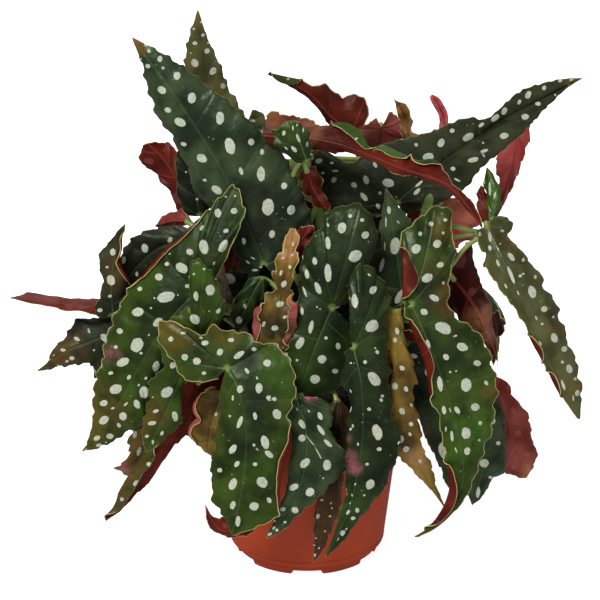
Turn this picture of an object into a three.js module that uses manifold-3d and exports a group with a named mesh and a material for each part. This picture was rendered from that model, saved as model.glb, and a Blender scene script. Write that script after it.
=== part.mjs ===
// A polka dot begonia in its terracotta-coloured nursery pot.
// Millimetres, +Z up, the front towards -Y, the origin at the middle of the pot's foot.
import * as THREE from 'three';
import { mergeVertices } from 'three/addons/utils/BufferGeometryUtils.js';
import Module from 'manifold-3d';

const wasm = await Module();
wasm.setup();

// Pot
const POT_HEIGHT = 105;
const RIM_RADIUS = 60;
const RIM_BAND = 12;
const WALL_TOP_RADIUS = 56.6;
const WALL_FOOT_RADIUS = 46.6;
const WALL = 1.7;
const FOOT_RADIUS = 42.5;
const FOOT_WIDTH = 2.6;
const FOOT_HEIGHT = 5.2;
const FLOOR_LOW = 5.6;
const FLOOR_HIGH = 7.8;
const POT_SIDES = 32;
const NOTCHES = 6;
const NOTCH_WIDTH = 15;
const NOTCH_HEIGHT = 2.5;
const DRAIN_RADIUS = 4;
const DRAIN_RING = 27;

// Soil and canes
const CLEAR = 0.35;
const SOIL_TOP = 94;
const SOIL_MOUND = 4;
const CANE_RADIUS = 3.6;
const CANE_FOOT = 66;
const CANE_SIDES = 8;
const CANE_STEPS = 9;
const STALK_RADIUS = 1.6;
const STALK_SIDES = 4;
const STALK_END = 6;
const STALK_BEND = 0.35;
const STALK_DROP = 0.1;
const STALK_DROP_MOST = 4.4;

// Leaves
const BLADE = 0.8;
const VEIN_SWEEP = 1.15;
const BULGE = 0.1;
const WAVE = 2;
const WAVES = 3;
const LIP_ROLL = THREE.MathUtils.degToRad(165);
const LIP_COLUMNS = 2;
const LONG_LEAF = 75;
const SHORT_LEAF = 40;

// The view that leaf outlines are read in: a camera above the front, looking down.
// A leaf point is [pixels across, pixels down, millimetres in front of the pot's axis].
const VIEW_TILT = THREE.MathUtils.degToRad(21);
const VIEW_DISTANCE = 1460;
const VIEW_FOCUS = 2500;
const VIEW_MIDDLE = 300;
const VIEW_AIM = new THREE.Vector3(-4.2, 0, 157.5);
const MM_PER_PIXEL = 0.59;
const LOBE_SLOPE = 0.15;
const CLEFT_ANGLE = THREE.MathUtils.degToRad(12);

const POT_COLOR = 0x9c3b24;
const SOIL_COLOR = 0x2e2018;
const CANE_COLOR = 0x6b5a3c;
const LEAF_COLORS = {
  dark: 0x24331f,
  green: 0x35502a,
  olive: 0x4b4f29,
  golden: 0x8a6a2c,
  red: 0x7c2a26,
  pink: 0xa04a48,
};

// Each cane: the points it passes, from the soil up.
const CANES = {
  cane_left: {
    path: [[-20, -4, CANE_FOOT], [-32, -16, 130], [-46, -24, 170], [-52, -20, 194]],
  },
  cane_front: {
    path: [[-3, -20, CANE_FOOT], [-8, -36, 115], [-7, -40, 148], [4, -38, 170]],
  },
  cane_back: {
    path: [[3, 14, CANE_FOOT], [8, 6, 150], [8, -2, 205], [-4, 2, 244]],
  },
  cane_right: {
    path: [[20, -2, CANE_FOOT], [40, -14, 125], [58, -16, 180], [70, -16, 228]],
  },
};

// Leaves whose outlines are seen. rib runs from the stalk to the tip. one and two are the
// margins on its two sides, from the cleft at the stalk round to the tip. turn is the margin
// point beside the stalk, where the lobe ends. fall leans each side back (less than 0) or
// forward. shows says which side of the blade faces the front.
const LEAVES = {
  leaf_top_left: {
    rib: [[264, 264, 34], [233, 190, 30], [179, 101, 18], [132, 37, 4]],
    one: [[262, 273], [250, 277], [238, 256], [218, 222], [204, 200], [184, 163], [168, 133], [151, 95],
      [141, 64]],
    two: [[272, 274], [292, 268], [309, 246], [312, 220], [300, 190], [284, 155], [262, 132], [238, 110],
      [203, 82], [178, 63], [157, 50]],
    turn: [2, 3], fall: [-0.6, -0.2], shows: 'upper', tone: 'dark', cane: ['cane_back', 0.62],
  },
  leaf_top_upright: {
    rib: [[226, 142, -12], [213, 100, -17], [198, 9, -24]],
    one: [[218, 146], [200, 128], [188, 100], [184, 72], [187, 48], [191, 30]],
    two: [[236, 148], [248, 138], [245, 118], [237, 103], [226, 80], [213, 50], [203, 25]],
    turn: [1, 1], fall: [-0.2, -0.4], shows: 'upper', tone: 'olive', cane: ['cane_back', 0.9],
  },
  leaf_top_small: {
    rib: [[248, 121, 0], [238, 137, -2], [225, 162, -6]],
    one: [[244, 112], [236, 113], [226, 126], [219, 145]],
    two: [[250, 109], [258, 111], [266, 121], [260, 127], [250, 132], [240, 147]],
    turn: [1, 2], fall: [-0.2, -0.2], shows: 'upper', tone: 'olive', cane: ['cane_back', 0.97],
  },
  leaf_arching: {
    rib: [[262, 136, 24], [330, 142, 36], [400, 168, 44], [450, 187, 46], [482, 228, 42]],
    one: [[263, 124], [272, 115], [300, 118], [327, 127], [346, 128], [358, 135], [370, 149], [384, 146],
      [402, 156], [416, 165], [432, 164], [452, 182], [471, 202]],
    two: [[266, 141], [280, 149], [310, 148], [345, 154], [375, 162], [400, 172], [425, 180], [450, 192],
      [470, 212]],
    turn: [1, 1], fall: [-0.9, -0.6], shows: 'under', tone: 'red', cane: ['cane_back', 0.98], slant: 2.5,
    held: 'behind',
    lip: { side: 0, from: 0.28, to: 0.88, width: 7 },
    wave: 2, phase: 1.5,
  },
  leaf_red_wing: {
    rib: [[352, 134, -18], [330, 116, -20], [308, 93, -20], [267, 74, -12]],
    one: [[362, 128], [367, 112], [364, 102], [356, 96], [344, 99], [334, 94], [324, 86], [312, 88],
      [302, 82], [285, 78]],
    two: [[344, 136], [334, 134], [327, 122], [318, 108], [306, 97], [290, 86], [278, 79]],
    turn: [2, 1], fall: [-0.3, -1.2], shows: 'under', tone: 'red', cane: ['cane_back', 1],
    lip: { side: 0, from: 0.72, to: 1, width: 5 },
    wave: 0.5, phase: 4.5,
  },
  leaf_red_behind: {
    rib: [[380, 135, -42], [379, 155, -50], [376, 180, -58]],
    one: [[376, 124], [366, 124], [357, 132], [354, 146], [360, 165]],
    two: [[384, 122], [390, 112], [398, 118], [402, 138], [400, 155], [390, 170]],
    turn: [2, 3], fall: [-0.2, -0.2], shows: 'under', tone: 'red', cane: ['cane_back', 0.9],
  },
  leaf_orange_upright: {
    rib: [[412, 152, -56], [408, 128, -56], [403, 113, -55], [394, 99, -52]],
    one: [[405, 153], [401, 138], [399, 122], [397, 110]],
    two: [[421, 150], [424, 139], [411, 129], [413, 119], [406, 106]],
    turn: [1, 1], fall: [-0.3, 0.4], shows: 'upper', tone: 'golden', cane: ['cane_back', 1],
    stalk: [[385, 160, -26], [404, 164, -50]], slant: 4,
  },
  leaf_red_spike: {
    rib: [[447, 152, -70], [444, 118, -68], [432, 94, -64]],
    one: [[441, 149], [439, 131], [438, 114], [430, 99]],
    two: [[454, 149], [450, 131], [447, 112], [440, 99]],
    turn: [1, 1], fall: [0.9, 0.9], shows: 'under', tone: 'red', cane: ['cane_back', 1], slant: 2.5,
    stalk: [[388, 164, -28]],
    wave: 1.5, phase: 4.5,
  },
  leaf_top_right: {
    rib: [[397, 203, 6], [440, 165, -18], [500, 122, -50], [583, 78, -90]],
    one: [[385, 213], [360, 214], [335, 212], [320, 200], [312, 180], [312, 160], [318, 150], [330, 153],
      [341, 165], [358, 160], [372, 149], [400, 140], [432, 131], [465, 118], [485, 119], [503, 104],
      [520, 91], [540, 84], [562, 79]],
    two: [[403, 214], [418, 210], [440, 202], [466, 188], [480, 170], [500, 151], [518, 138], [532, 124],
      [545, 108], [560, 94]],
    turn: [9, 2], fall: [-0.25, 0.1], shows: 'upper', tone: 'dark', cane: ['cane_back', 0.72],
    stalk: [[350, 224, -8], [385, 214, -6]],
  },
  leaf_new_centre: {
    rib: [[307, 162, 38], [300, 142, 44], [296, 121, 44]],
    one: [[298, 163], [284, 152], [272, 135], [278, 128], [288, 121]],
    two: [[312, 158], [309, 148], [309, 135], [304, 126]],
    turn: [1, 1], fall: [-0.3, -0.6], shows: 'upper', tone: 'green', cane: ['cane_back', 0.85],
    stalk: [[293, 178, 22]],
  },
  leaf_red_strip: {
    rib: [[306, 168, 24], [314, 190, 26], [327, 211, 26]],
    one: [[300, 172], [303, 187], [315, 204]],
    two: [[314, 165], [320, 176], [324, 195], [331, 206]],
    turn: [1, 1], fall: [-0.5, -0.5], shows: 'under', tone: 'red', cane: ['cane_back', 0.8],
    stalk: [[297, 180, 8], [299, 164, 16]], slant: 3,
  },
  leaf_right_red: {
    rib: [[520, 118, -84], [513, 165, -74], [497, 217, -58]],
    one: [[511, 122], [502, 140], [497, 165], [498, 192]],
    two: [[530, 120], [529, 140], [520, 168], [511, 190], [503, 206]],
    turn: [1, 1], fall: [-0.4, 0.4], shows: 'under', tone: 'red', cane: ['cane_back', 0.95], slant: 2.5,
    stalk: [[390, 176, -30], [470, 138, -70], [512, 104, -85]],
  },
  leaf_right_narrow: {
    rib: [[491, 221, 18], [496, 196, 12], [487, 167, 4]],
    one: [[488, 219], [487, 208], [487, 196], [484, 183]],
    two: [[495, 219], [500, 207], [501, 196], [496, 180]],
    turn: [1, 1], fall: [-1.2, -1.2], shows: 'upper', tone: 'green', cane: ['cane_right', 0.9],
    stalk: [[460, 228, 20], [484, 232, 20]], slant: 4,
    wave: 2, phase: 1.5,
  },
  leaf_right_sliver: {
    rib: [[486, 225, 8], [485, 205, 4], [481, 185, 0]],
    one: [[480, 220], [478, 205], [477, 192]],
    two: [[492, 220], [491, 205], [487, 192]],
    turn: [1, 1], fall: [-0.8, -0.8], shows: 'under', tone: 'red', cane: ['cane_right', 0.8],
    stalk: [[466, 236, -4], [480, 234, 4]], slant: 4,
  },
  leaf_right_droop: {
    rib: [[486, 226, 30], [503, 262, 42], [522, 303, 50], [541, 345, 54], [560, 385, 55], [580, 419, 52]],
    one: [[478, 228], [480, 243], [487, 256], [486, 265], [500, 285], [513, 304], [524, 320], [534, 340],
      [545, 362], [556, 383], [568, 402]],
    two: [[490, 218], [500, 216], [511, 221], [509, 234], [514, 244], [524, 254], [536, 268], [545, 288],
      [557, 308], [566, 335], [575, 360], [581, 390]],
    turn: [1, 3], fall: [-0.2, -0.9], shows: 'upper', tone: 'olive', cane: ['cane_right', 0.55],
    stalk: [[442, 275, 26], [466, 247, 26]],
    lip: { side: 0, from: 0.5, to: 0.9, width: 5 },
    wave: 0.5, phase: 3,
  },
  leaf_right_front: {
    rib: [[411, 304, 58], [425, 335, 64], [442, 378, 68], [455, 425, 70], [463, 465, 71], [458, 494, 70],
      [439, 520, 68], [415, 537, 66]],
    one: [[406, 307], [413, 324], [425, 362], [434, 398], [441, 413], [444, 440], [448, 460], [451, 490],
      [436, 519]],
    two: [[406, 301], [404, 285], [403, 262], [402, 245], [406, 233], [419, 221], [437, 208], [449, 213],
      [449, 232], [452, 253], [448, 275], [447, 300], [457, 320], [478, 334], [489, 362], [493, 385],
      [490, 425], [479, 462], [465, 496], [442, 519]],
    turn: [1, 10], fall: [-0.2, -0.5], shows: 'upper', tone: 'green', cane: ['cane_right', 0.95],
    stalk: [[433, 214, 22], [431, 245, 20], [419, 287, 44]],
    bulge: 0.06, wave: 1.5, phase: 0,
  },
  leaf_centre_back: {
    rib: [[403, 303, 36], [396, 250, 34], [386, 188, 26]],
    one: [[398, 312], [380, 318], [366, 300], [363, 275], [374, 254], [382, 245], [381, 222], [384, 200]],
    two: [[408, 312], [420, 300], [425, 270], [420, 240], [413, 224], [400, 208], [391, 196]],
    turn: [2, 1], fall: [-0.3, -0.3], shows: 'upper', tone: 'dark', cane: ['cane_right', 0.55],
  },
  leaf_centre_front: {
    rib: [[332, 307, 58], [314, 350, 63], [302, 385, 64], [294, 415, 62]],
    one: [[345, 304], [361, 290], [368, 265], [377, 240], [372, 217], [358, 204], [340, 207], [326, 213],
      [324, 225], [313, 236], [303, 255], [299, 285], [297, 315], [290, 343], [280, 357], [277, 380],
      [283, 400]],
    two: [[341, 313], [349, 325], [350, 345], [345, 370], [332, 392], [312, 408]],
    turn: [11, 1], fall: [-0.15, -0.3], shows: 'upper', tone: 'dark', cane: ['cane_front', 0.9],
  },
  leaf_centre_long: {
    rib: [[353, 346, 80], [361, 385, 86], [362, 440, 90], [350, 505, 90], [325, 558, 86]],
    one: [[345, 350], [347, 364], [342, 378], [349, 402], [348, 425], [349, 452], [344, 468], [346, 495],
      [341, 512], [333, 536]],
    two: [[350, 337], [350, 315], [350, 290], [357, 267], [368, 265], [381, 280], [388, 297], [386, 318],
      [388, 345], [391, 375], [391, 412], [398, 432], [394, 462], [382, 494], [359, 520], [342, 541]],
    turn: [1, 8], fall: [-0.6, -0.5], shows: 'upper', tone: 'dark', cane: ['cane_right', 0.42],
    stalk: [[368, 352, 58]],
  },
  leaf_front_small: {
    rib: [[296, 395, 73], [306, 428, 77], [305, 465, 79], [294, 501, 80], [266, 539, 80]],
    one: [[289, 399], [287, 415], [291, 432], [292, 452], [288, 475], [284, 496], [279, 511], [272, 525]],
    two: [[306, 394], [322, 400], [332, 411], [331, 432], [344, 450], [343, 468], [325, 490], [302, 512],
      [283, 530]],
    turn: [1, 2], fall: [-0.4, 0.1], shows: 'upper', tone: 'dark', cane: ['cane_front', 0.6],
    stalk: [[266, 394, 50], [281, 401, 64]],
  },
  leaf_front_left: {
    rib: [[227, 368, 76], [238, 388, 82], [246, 430, 88], [243, 480, 90], [232, 535, 86]],
    one: [[222, 380], [221, 397], [218, 423], [215, 450], [210, 470], [214, 497], [224, 518]],
    two: [[218, 377], [200, 380], [185, 377], [176, 362], [163, 346], [161, 324], [181, 326], [204, 338],
      [212, 327], [227, 333], [245, 335], [260, 346], [274, 346], [290, 366], [293, 392], [286, 415],
      [288, 440], [281, 462], [278, 490], [275, 515], [256, 525], [240, 531]],
    turn: [1, 12], fall: [-0.5, -0.15], shows: 'upper', tone: 'green', cane: ['cane_front', 0.75],
    bulge: 0.03, wave: 1.5, phase: 0,
  },
  leaf_left_big: {
    rib: [[195, 292, 50], [168, 322, 52], [143, 360, 50], [118, 405, 46], [82, 451, 38]],
    one: [[207, 288], [218, 270], [230, 245], [238, 228], [242, 212], [233, 187], [219, 201], [203, 219],
      [185, 237], [165, 253], [148, 272], [133, 286], [120, 307], [110, 335], [105, 362], [96, 385],
      [93, 425], [88, 443]],
    two: [[205, 300], [203, 318], [190, 342], [170, 366], [158, 384], [150, 402], [144, 420], [125, 435],
      [103, 446]],
    turn: [9, 2], fall: [-0.45, -0.15], shows: 'upper', tone: 'green', cane: ['cane_left', 0.85],
  },
  leaf_left_green: {
    rib: [[200, 338, 62], [186, 366, 62], [170, 402, 57], [146, 452, 48]],
    one: [[210, 334], [220, 322], [224, 306], [219, 288], [208, 268], [196, 258], [190, 266], [190, 290],
      [188, 307], [174, 317], [162, 330], [161, 348], [164, 366], [150, 380], [148, 402], [143, 425],
      [143, 440]],
    two: [[212, 345], [210, 362], [197, 378], [183, 386], [182, 405], [181, 424], [165, 438], [153, 448]],
    turn: [9, 1], fall: [-0.1, -0.1], shows: 'upper', tone: 'green', cane: ['cane_left', 0.6],
    wave: 2, phase: 1.5,
  },
  leaf_left_long: {
    rib: [[200, 374, 44], [190, 408, 42], [174, 441, 39], [148, 475, 34], [106, 521, 28]],
    one: [[191, 376], [183, 397], [177, 418], [165, 437], [152, 449], [138, 466], [122, 488], [116, 505]],
    two: [[212, 378], [207, 398], [196, 421], [180, 441], [160, 465], [144, 487], [128, 504]],
    turn: [1, 1], fall: [0, -0.3], shows: 'under', tone: 'red', cane: ['cane_left', 0.45],
    wave: 2, phase: 0,
  },
  leaf_golden_low: {
    rib: [[224, 392, 56], [213, 420, 54], [207, 453, 50]],
    one: [[218, 388], [207, 391], [196, 403], [203, 417], [191, 428], [197, 440]],
    two: [[232, 395], [236, 415], [230, 440], [218, 456]],
    turn: [1, 1], fall: [-0.3, -0.3], shows: 'upper', tone: 'golden', cane: ['cane_front', 0.5],
  },
  leaf_red_curl_low: {
    rib: [[262, 420, 65], [262, 470, 67], [246, 518, 68], [222, 531, 67], [205, 505, 65]],
    one: [[254, 416], [245, 440], [241, 480], [232, 511], [214, 517]],
    two: [[272, 422], [278, 450], [276, 490], [258, 524], [232, 538], [210, 528]],
    turn: [1, 1], fall: [-0.2, -0.2], shows: 'under', tone: 'red', cane: ['cane_front', 0.5],
    held: 'behind', slant: 2,
  },
  leaf_brown_low: {
    rib: [[160, 412, 16], [147, 440, 12], [135, 462, 10], [113, 468, 8]],
    one: [[149, 413], [130, 437], [129, 452], [122, 464]],
    two: [[168, 425], [160, 450], [146, 470], [129, 475]],
    turn: [1, 1], fall: [-0.3, -0.3], shows: 'upper', tone: 'golden', cane: ['cane_left', 0.35],
    wave: 2, phase: 3,
  },
  leaf_left_olive: {
    rib: [[126, 330, 16], [95, 340, 18], [65, 352, 17], [37, 371, 12]],
    one: [[122, 317], [110, 314], [97, 316], [80, 321], [67, 331], [57, 347], [46, 363]],
    two: [[130, 346], [118, 374], [97, 380], [90, 362], [75, 365], [55, 368]],
    turn: [1, 2], fall: [-0.8, -0.2], shows: 'upper', tone: 'olive', cane: ['cane_left', 0.55],
  },
  leaf_left_far: {
    rib: [[118, 309, 6], [60, 304, 20], [9, 298, 36]],
    one: [[110, 300], [98, 299], [60, 298], [34, 293]],
    two: [[110, 318], [92, 314], [60, 309], [30, 303]],
    turn: [1, 1], fall: [-2.5, 2.0], shows: 'under', tone: 'pink', cane: ['cane_left', 0.8],
  },
  leaf_left_upright: {
    rib: [[113, 316, 30], [111, 282, 31], [116, 250, 30], [125, 224, 27]],
    one: [[104, 320], [94, 312], [101, 295], [101, 270], [101, 251], [111, 240], [119, 230]],
    two: [[122, 318], [132, 304], [128, 282], [119, 264], [119, 245], [122, 233]],
    turn: [1, 1], fall: [-0.4, -0.2], shows: 'upper', tone: 'olive', cane: ['cane_left', 0.75],
    lip: { side: 1, from: 0.3, to: 0.95, width: 3 },
    wave: 2, phase: 3,
  },
  leaf_left_dark: {
    rib: [[196, 240, 26], [162, 246, 25], [134, 270, 22], [120, 298, 20]],
    one: [[196, 228], [175, 226], [150, 230], [133, 238], [122, 252], [117, 275]],
    two: [[196, 252], [180, 264], [158, 276], [140, 290], [128, 300]],
    turn: [1, 1], fall: [-0.3, -0.3], shows: 'upper', tone: 'dark', cane: ['cane_left', 0.95],
  },
  leaf_left_pink: {
    rib: [[190, 222, 14], [174, 221, 12], [155, 226, 9]],
    one: [[187, 212], [178, 210], [165, 215]],
    two: [[187, 225], [176, 226], [165, 228]],
    turn: [1, 1], fall: [-1.5, -1.5], shows: 'under', tone: 'pink', cane: ['cane_left', 1],
    wave: 1, phase: 0,
  },
  leaf_left_red: {
    rib: [[186, 215, -11], [180, 188, -14], [167, 163, -16], [147, 143, -17]],
    one: [[178, 212], [174, 201], [164, 183], [152, 172], [142, 162], [141, 148]],
    two: [[196, 205], [191, 185], [183, 165], [174, 147], [160, 142]],
    turn: [1, 1], fall: [-0.3, -0.3], shows: 'under', tone: 'red', cane: ['cane_left', 1],
  },
  leaf_left_strip: {
    rib: [[200, 216, 6], [193, 182, 5], [180, 148, 3]],
    one: [[190, 217], [178, 198], [177, 176], [176, 155]],
    two: [[212, 208], [206, 190], [195, 166], [185, 151]],
    turn: [1, 1], fall: [-0.3, -0.3], shows: 'upper', tone: 'dark', cane: ['cane_left', 1],
  },
  leaf_golden_twisted: {
    rib: [[272, 352, 60], [279, 315, 58], [286, 270, 52], [293, 228, 46]],
    one: [[262, 350], [256, 335], [254, 315], [268, 301], [275, 290], [275, 272], [283, 252], [288, 236]],
    two: [[282, 352], [290, 335], [298, 308], [289, 300], [292, 280], [295, 262], [294, 250], [297, 238]],
    turn: [1, 1], fall: [-0.4, 0.3], shows: 'upper', tone: 'golden', cane: ['cane_front', 0.7],
  },
  leaf_red_centre: {
    rib: [[291, 264, 42], [301, 241, 43], [314, 226, 42]],
    one: [[287, 254], [293, 237], [304, 226]],
    two: [[299, 260], [307, 246], [314, 234]],
    turn: [1, 1], fall: [-0.4, -0.4], shows: 'under', tone: 'red', cane: ['cane_front', 0.95],
  },
  leaf_dark_small: {
    rib: [[262, 276, 36], [249, 300, 39], [235, 333, 41]],
    one: [[252, 275], [238, 295], [231, 312]],
    two: [[272, 281], [261, 300], [250, 320]],
    turn: [1, 1], fall: [-0.4, -0.4], shows: 'upper', tone: 'dark', cane: ['cane_front', 0.85],
  },
  leaf_golden_hanging: {
    rib: [[395, 309, 61], [396, 340, 66], [402, 380, 69], [406, 430, 70], [425, 475, 65], [447, 511, 60]],
    one: [[390, 307], [386, 318], [388, 335], [388, 350], [392, 372], [391, 402], [393, 424], [399, 440],
      [397, 455], [412, 467], [428, 487], [438, 499]],
    two: [[400, 308], [403, 325], [402, 342], [411, 356], [414, 378], [414, 402], [420, 420], [421, 445],
      [432, 466], [437, 488]],
    turn: [1, 1], fall: [-0.3, -0.3], shows: 'upper', tone: 'golden', cane: ['cane_right', 0.45],
    stalk: [[392, 332, 34]],
  },
  leaf_dark_low: {
    rib: [[405, 345, 42], [418, 385, 46], [441, 425, 46], [450, 460, 44], [455, 491, 40]],
    one: [[397, 352], [402, 390], [418, 415], [427, 443], [440, 463], [445, 484]],
    two: [[415, 340], [435, 370], [455, 410], [464, 450], [462, 478]],
    turn: [1, 1], fall: [-0.3, -0.3], shows: 'upper', tone: 'dark', cane: ['cane_right', 0.5],
  },
  leaf_right_dark: {
    rib: [[480, 368, 40], [487, 420, 42], [484, 465, 40], [472, 505, 36]],
    one: [[470, 372], [466, 400], [468, 440], [466, 485]],
    two: [[491, 376], [498, 405], [506, 435], [503, 468], [485, 492]],
    turn: [1, 1], fall: [-0.1, -1.0], shows: 'upper', tone: 'dark', cane: ['cane_right', 0.55],
  },
  leaf_right_low_red: {
    rib: [[490, 374, 14], [503, 410, 18], [514, 445, 18], [526, 478, 12]],
    one: [[505, 378], [512, 394], [525, 411], [531, 430], [535, 450], [533, 468]],
    two: [[482, 382], [484, 415], [494, 448], [503, 470], [514, 476]],
    turn: [1, 1], fall: [-0.9, -0.2], shows: 'under', tone: 'red', cane: ['cane_right', 0.5],
  },
  leaf_right_folded: {
    rib: [[449, 274, 22], [470, 300, 24], [485, 328, 24], [498, 362, 20]],
    one: [[455, 262], [468, 243], [476, 268], [484, 290], [491, 312], [495, 335]],
    two: [[447, 286], [449, 303], [458, 320], [470, 329], [481, 339], [490, 349]],
    turn: [1, 1], fall: [-0.9, -0.9], shows: 'under', tone: 'red', cane: ['cane_right', 0.8],
    wave: 1, phase: 3,
  },
  leaf_centre_low: {
    rib: [[338, 398, 60], [335, 450, 68], [330, 490, 68], [322, 530, 65], [314, 563, 61]],
    one: [[330, 402], [323, 430], [320, 470], [316, 500], [314, 535]],
    two: [[346, 404], [349, 430], [345, 465], [341, 500], [328, 540]],
    turn: [1, 1], fall: [-0.2, -0.2], shows: 'under', tone: 'dark', cane: ['cane_front', 0.45],
    slant: 2.5, held: 'behind',
  },
  leaf_pink_hanging: {
    rib: [[441, 198, -14], [440, 222, -11], [442, 252, -8]],
    one: [[430, 200], [417, 208], [407, 216], [415, 228], [426, 244]],
    two: [[452, 197], [465, 200], [479, 223], [470, 238], [456, 247]],
    turn: [1, 1], fall: [-0.3, -0.3], shows: 'under', tone: 'pink', cane: ['cane_right', 0.75],
    wave: 0.5, phase: 0,
  },
};

// Leaves on the side turned away: from the stalk through the middle to the tip, and the width
// of each side. They face away from the pot's axis.
const BACK_LEAVES = {
  leaf_back_1: { spine: [[-62, 34, 182], [-98, 52, 162], [-118, 64, 108]], sides: [32, 24] },
  leaf_back_2: { spine: [[-28, 46, 205], [-40, 76, 190], [-48, 88, 128]], sides: [36, 26] },
  leaf_back_3: { spine: [[4, 46, 224], [6, 80, 212], [4, 91, 146]], sides: [26, 34] },
  leaf_back_4: { spine: [[52, 38, 192], [76, 64, 176], [86, 80, 114]], sides: [32, 24] },
  leaf_back_5: { spine: [[72, 20, 168], [104, 38, 150], [114, 48, 96]], sides: [24, 30] },
  leaf_back_6: { spine: [[-6, 44, 156], [-8, 74, 142], [-8, 86, 82]], sides: [30, 22] },
  leaf_back_7: { spine: [[34, 40, 140], [50, 66, 126], [56, 77, 66]], sides: [24, 32] },
  leaf_back_8: { spine: [[-58, 36, 134], [-84, 52, 118], [-98, 60, 62]], sides: [30, 22] },
  leaf_back_9: { spine: [[-66, 8, 160], [-98, 22, 146], [-112, 30, 92]], sides: [24, 32] },
  leaf_back_10: { spine: [[-24, 32, 236], [-36, 58, 242], [-42, 86, 206]], sides: [26, 32] },
};

// A back leaf's outline: how far along its length and how far across, as shares.
const WIDE_SIDE = [[-0.06, 0.1], [-0.2, 0.32], [-0.24, 0.7], [-0.1, 1], [0.1, 1.05], [0.32, 0.96],
  [0.54, 0.76], [0.74, 0.5], [0.9, 0.2]];
const SLIM_SIDE = [[-0.04, 0.24], [-0.1, 0.62], [0.02, 0.96], [0.2, 1.02], [0.42, 0.9], [0.64, 0.66],
  [0.84, 0.34]];

function toSolid(geometry) {
  const bare = geometry.index ? geometry.clone() : geometry;
  for (const name of Object.keys(bare.attributes)) {
    if (name !== 'position') bare.deleteAttribute(name);
  }
  const merged = mergeVertices(bare, 1e-4);
  const triVerts = Uint32Array.from(merged.index.array);
  const vertProperties = Float32Array.from(merged.attributes.position.array);
  const solid = new wasm.Manifold(new wasm.Mesh({ numProp: 3, vertProperties, triVerts }));
  if (solid.volume() > 0) return solid;
  for (let i = 0; i < triVerts.length; i += 3) {
    [triVerts[i], triVerts[i + 1]] = [triVerts[i + 1], triVerts[i]];
  }
  return new wasm.Manifold(new wasm.Mesh({ numProp: 3, vertProperties, triVerts }));
}

function toGeometry(solid) {
  const mesh = solid.getMesh();
  const geometry = new THREE.BufferGeometry();
  geometry.setAttribute('position', new THREE.Float32BufferAttribute(mesh.vertProperties, 3));
  geometry.setIndex(new THREE.Uint32BufferAttribute(mesh.triVerts, 1));
  return geometry;
}

function lathe(profile, sides) {
  const geometry = new THREE.LatheGeometry(profile.map(([r, z]) => new THREE.Vector2(r, z)), sides);
  geometry.rotateX(Math.PI / 2);
  return toSolid(geometry);
}

function tube(points, radius, sides, steps) {
  const curve = new THREE.CatmullRomCurve3(points);
  const section = new THREE.Shape();
  for (let i = 0; i < sides; i++) {
    const angle = (2 * Math.PI * i) / sides;
    const x = radius * Math.cos(angle);
    const y = radius * Math.sin(angle);
    if (i === 0) section.moveTo(x, y);
    else section.lineTo(x, y);
  }
  section.closePath();
  return toSolid(new THREE.ExtrudeGeometry(section, { steps, extrudePath: curve, bevelEnabled: false }));
}

function cylinder(radius, low, high, sides, x = 0, y = 0) {
  const geometry = new THREE.CylinderGeometry(radius, radius, high - low, sides);
  geometry.rotateX(Math.PI / 2);
  geometry.translate(x, y, (low + high) / 2);
  return toSolid(geometry);
}

function makePot() {
  let pot = lathe([
    [0, FLOOR_LOW],
    [FOOT_RADIUS - FOOT_WIDTH, FLOOR_LOW],
    [FOOT_RADIUS - FOOT_WIDTH, 0],
    [FOOT_RADIUS, 0],
    [FOOT_RADIUS, FOOT_HEIGHT],
    [WALL_FOOT_RADIUS - 1, FOOT_HEIGHT + 1],
    [WALL_FOOT_RADIUS, FOOT_HEIGHT + 3],
    [WALL_TOP_RADIUS, POT_HEIGHT - RIM_BAND],
    [RIM_RADIUS - 0.6, POT_HEIGHT - RIM_BAND],
    [RIM_RADIUS, POT_HEIGHT - RIM_BAND + 1],
    [RIM_RADIUS, POT_HEIGHT - 1],
    [RIM_RADIUS - 1, POT_HEIGHT],
    [RIM_RADIUS - WALL - 0.6, POT_HEIGHT],
    [RIM_RADIUS - WALL - 0.8, POT_HEIGHT - RIM_BAND + 2],
    [WALL_TOP_RADIUS - WALL, POT_HEIGHT - RIM_BAND],
    [WALL_FOOT_RADIUS - WALL, FLOOR_HIGH],
    [0, FLOOR_HIGH],
  ], POT_SIDES);
  for (let i = 0; i < NOTCHES; i++) {
    const turn = (2 * Math.PI * i) / NOTCHES;
    const outline = new THREE.Shape([
      new THREE.Vector2(-NOTCH_WIDTH / 2 - 2.5, -1),
      new THREE.Vector2(NOTCH_WIDTH / 2 + 2.5, -1),
      new THREE.Vector2(NOTCH_WIDTH / 2, NOTCH_HEIGHT),
      new THREE.Vector2(-NOTCH_WIDTH / 2, NOTCH_HEIGHT),
    ]);
    const notch = new THREE.ExtrudeGeometry(outline, { depth: 8, bevelEnabled: false });
    notch.rotateX(Math.PI / 2);
    notch.translate(0, -FOOT_RADIUS + 5.5, 0);
    notch.rotateZ(turn);
    pot = pot.subtract(toSolid(notch));
    const x = DRAIN_RING * Math.sin(turn);
    const y = DRAIN_RING * Math.cos(turn);
    pot = pot.subtract(cylinder(DRAIN_RADIUS, FLOOR_LOW - 1, FLOOR_HIGH + 1, 10, x, y));
  }
  return pot.subtract(cylinder(DRAIN_RADIUS, FLOOR_LOW - 1, FLOOR_HIGH + 1, 10));
}

function wallInside(z) {
  const share = (z - FLOOR_HIGH) / (POT_HEIGHT - RIM_BAND - FLOOR_HIGH);
  const low = WALL_FOOT_RADIUS - WALL;
  const high = WALL_TOP_RADIUS - WALL;
  return low + (high - low) * share - 2 * CLEAR;
}

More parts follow.
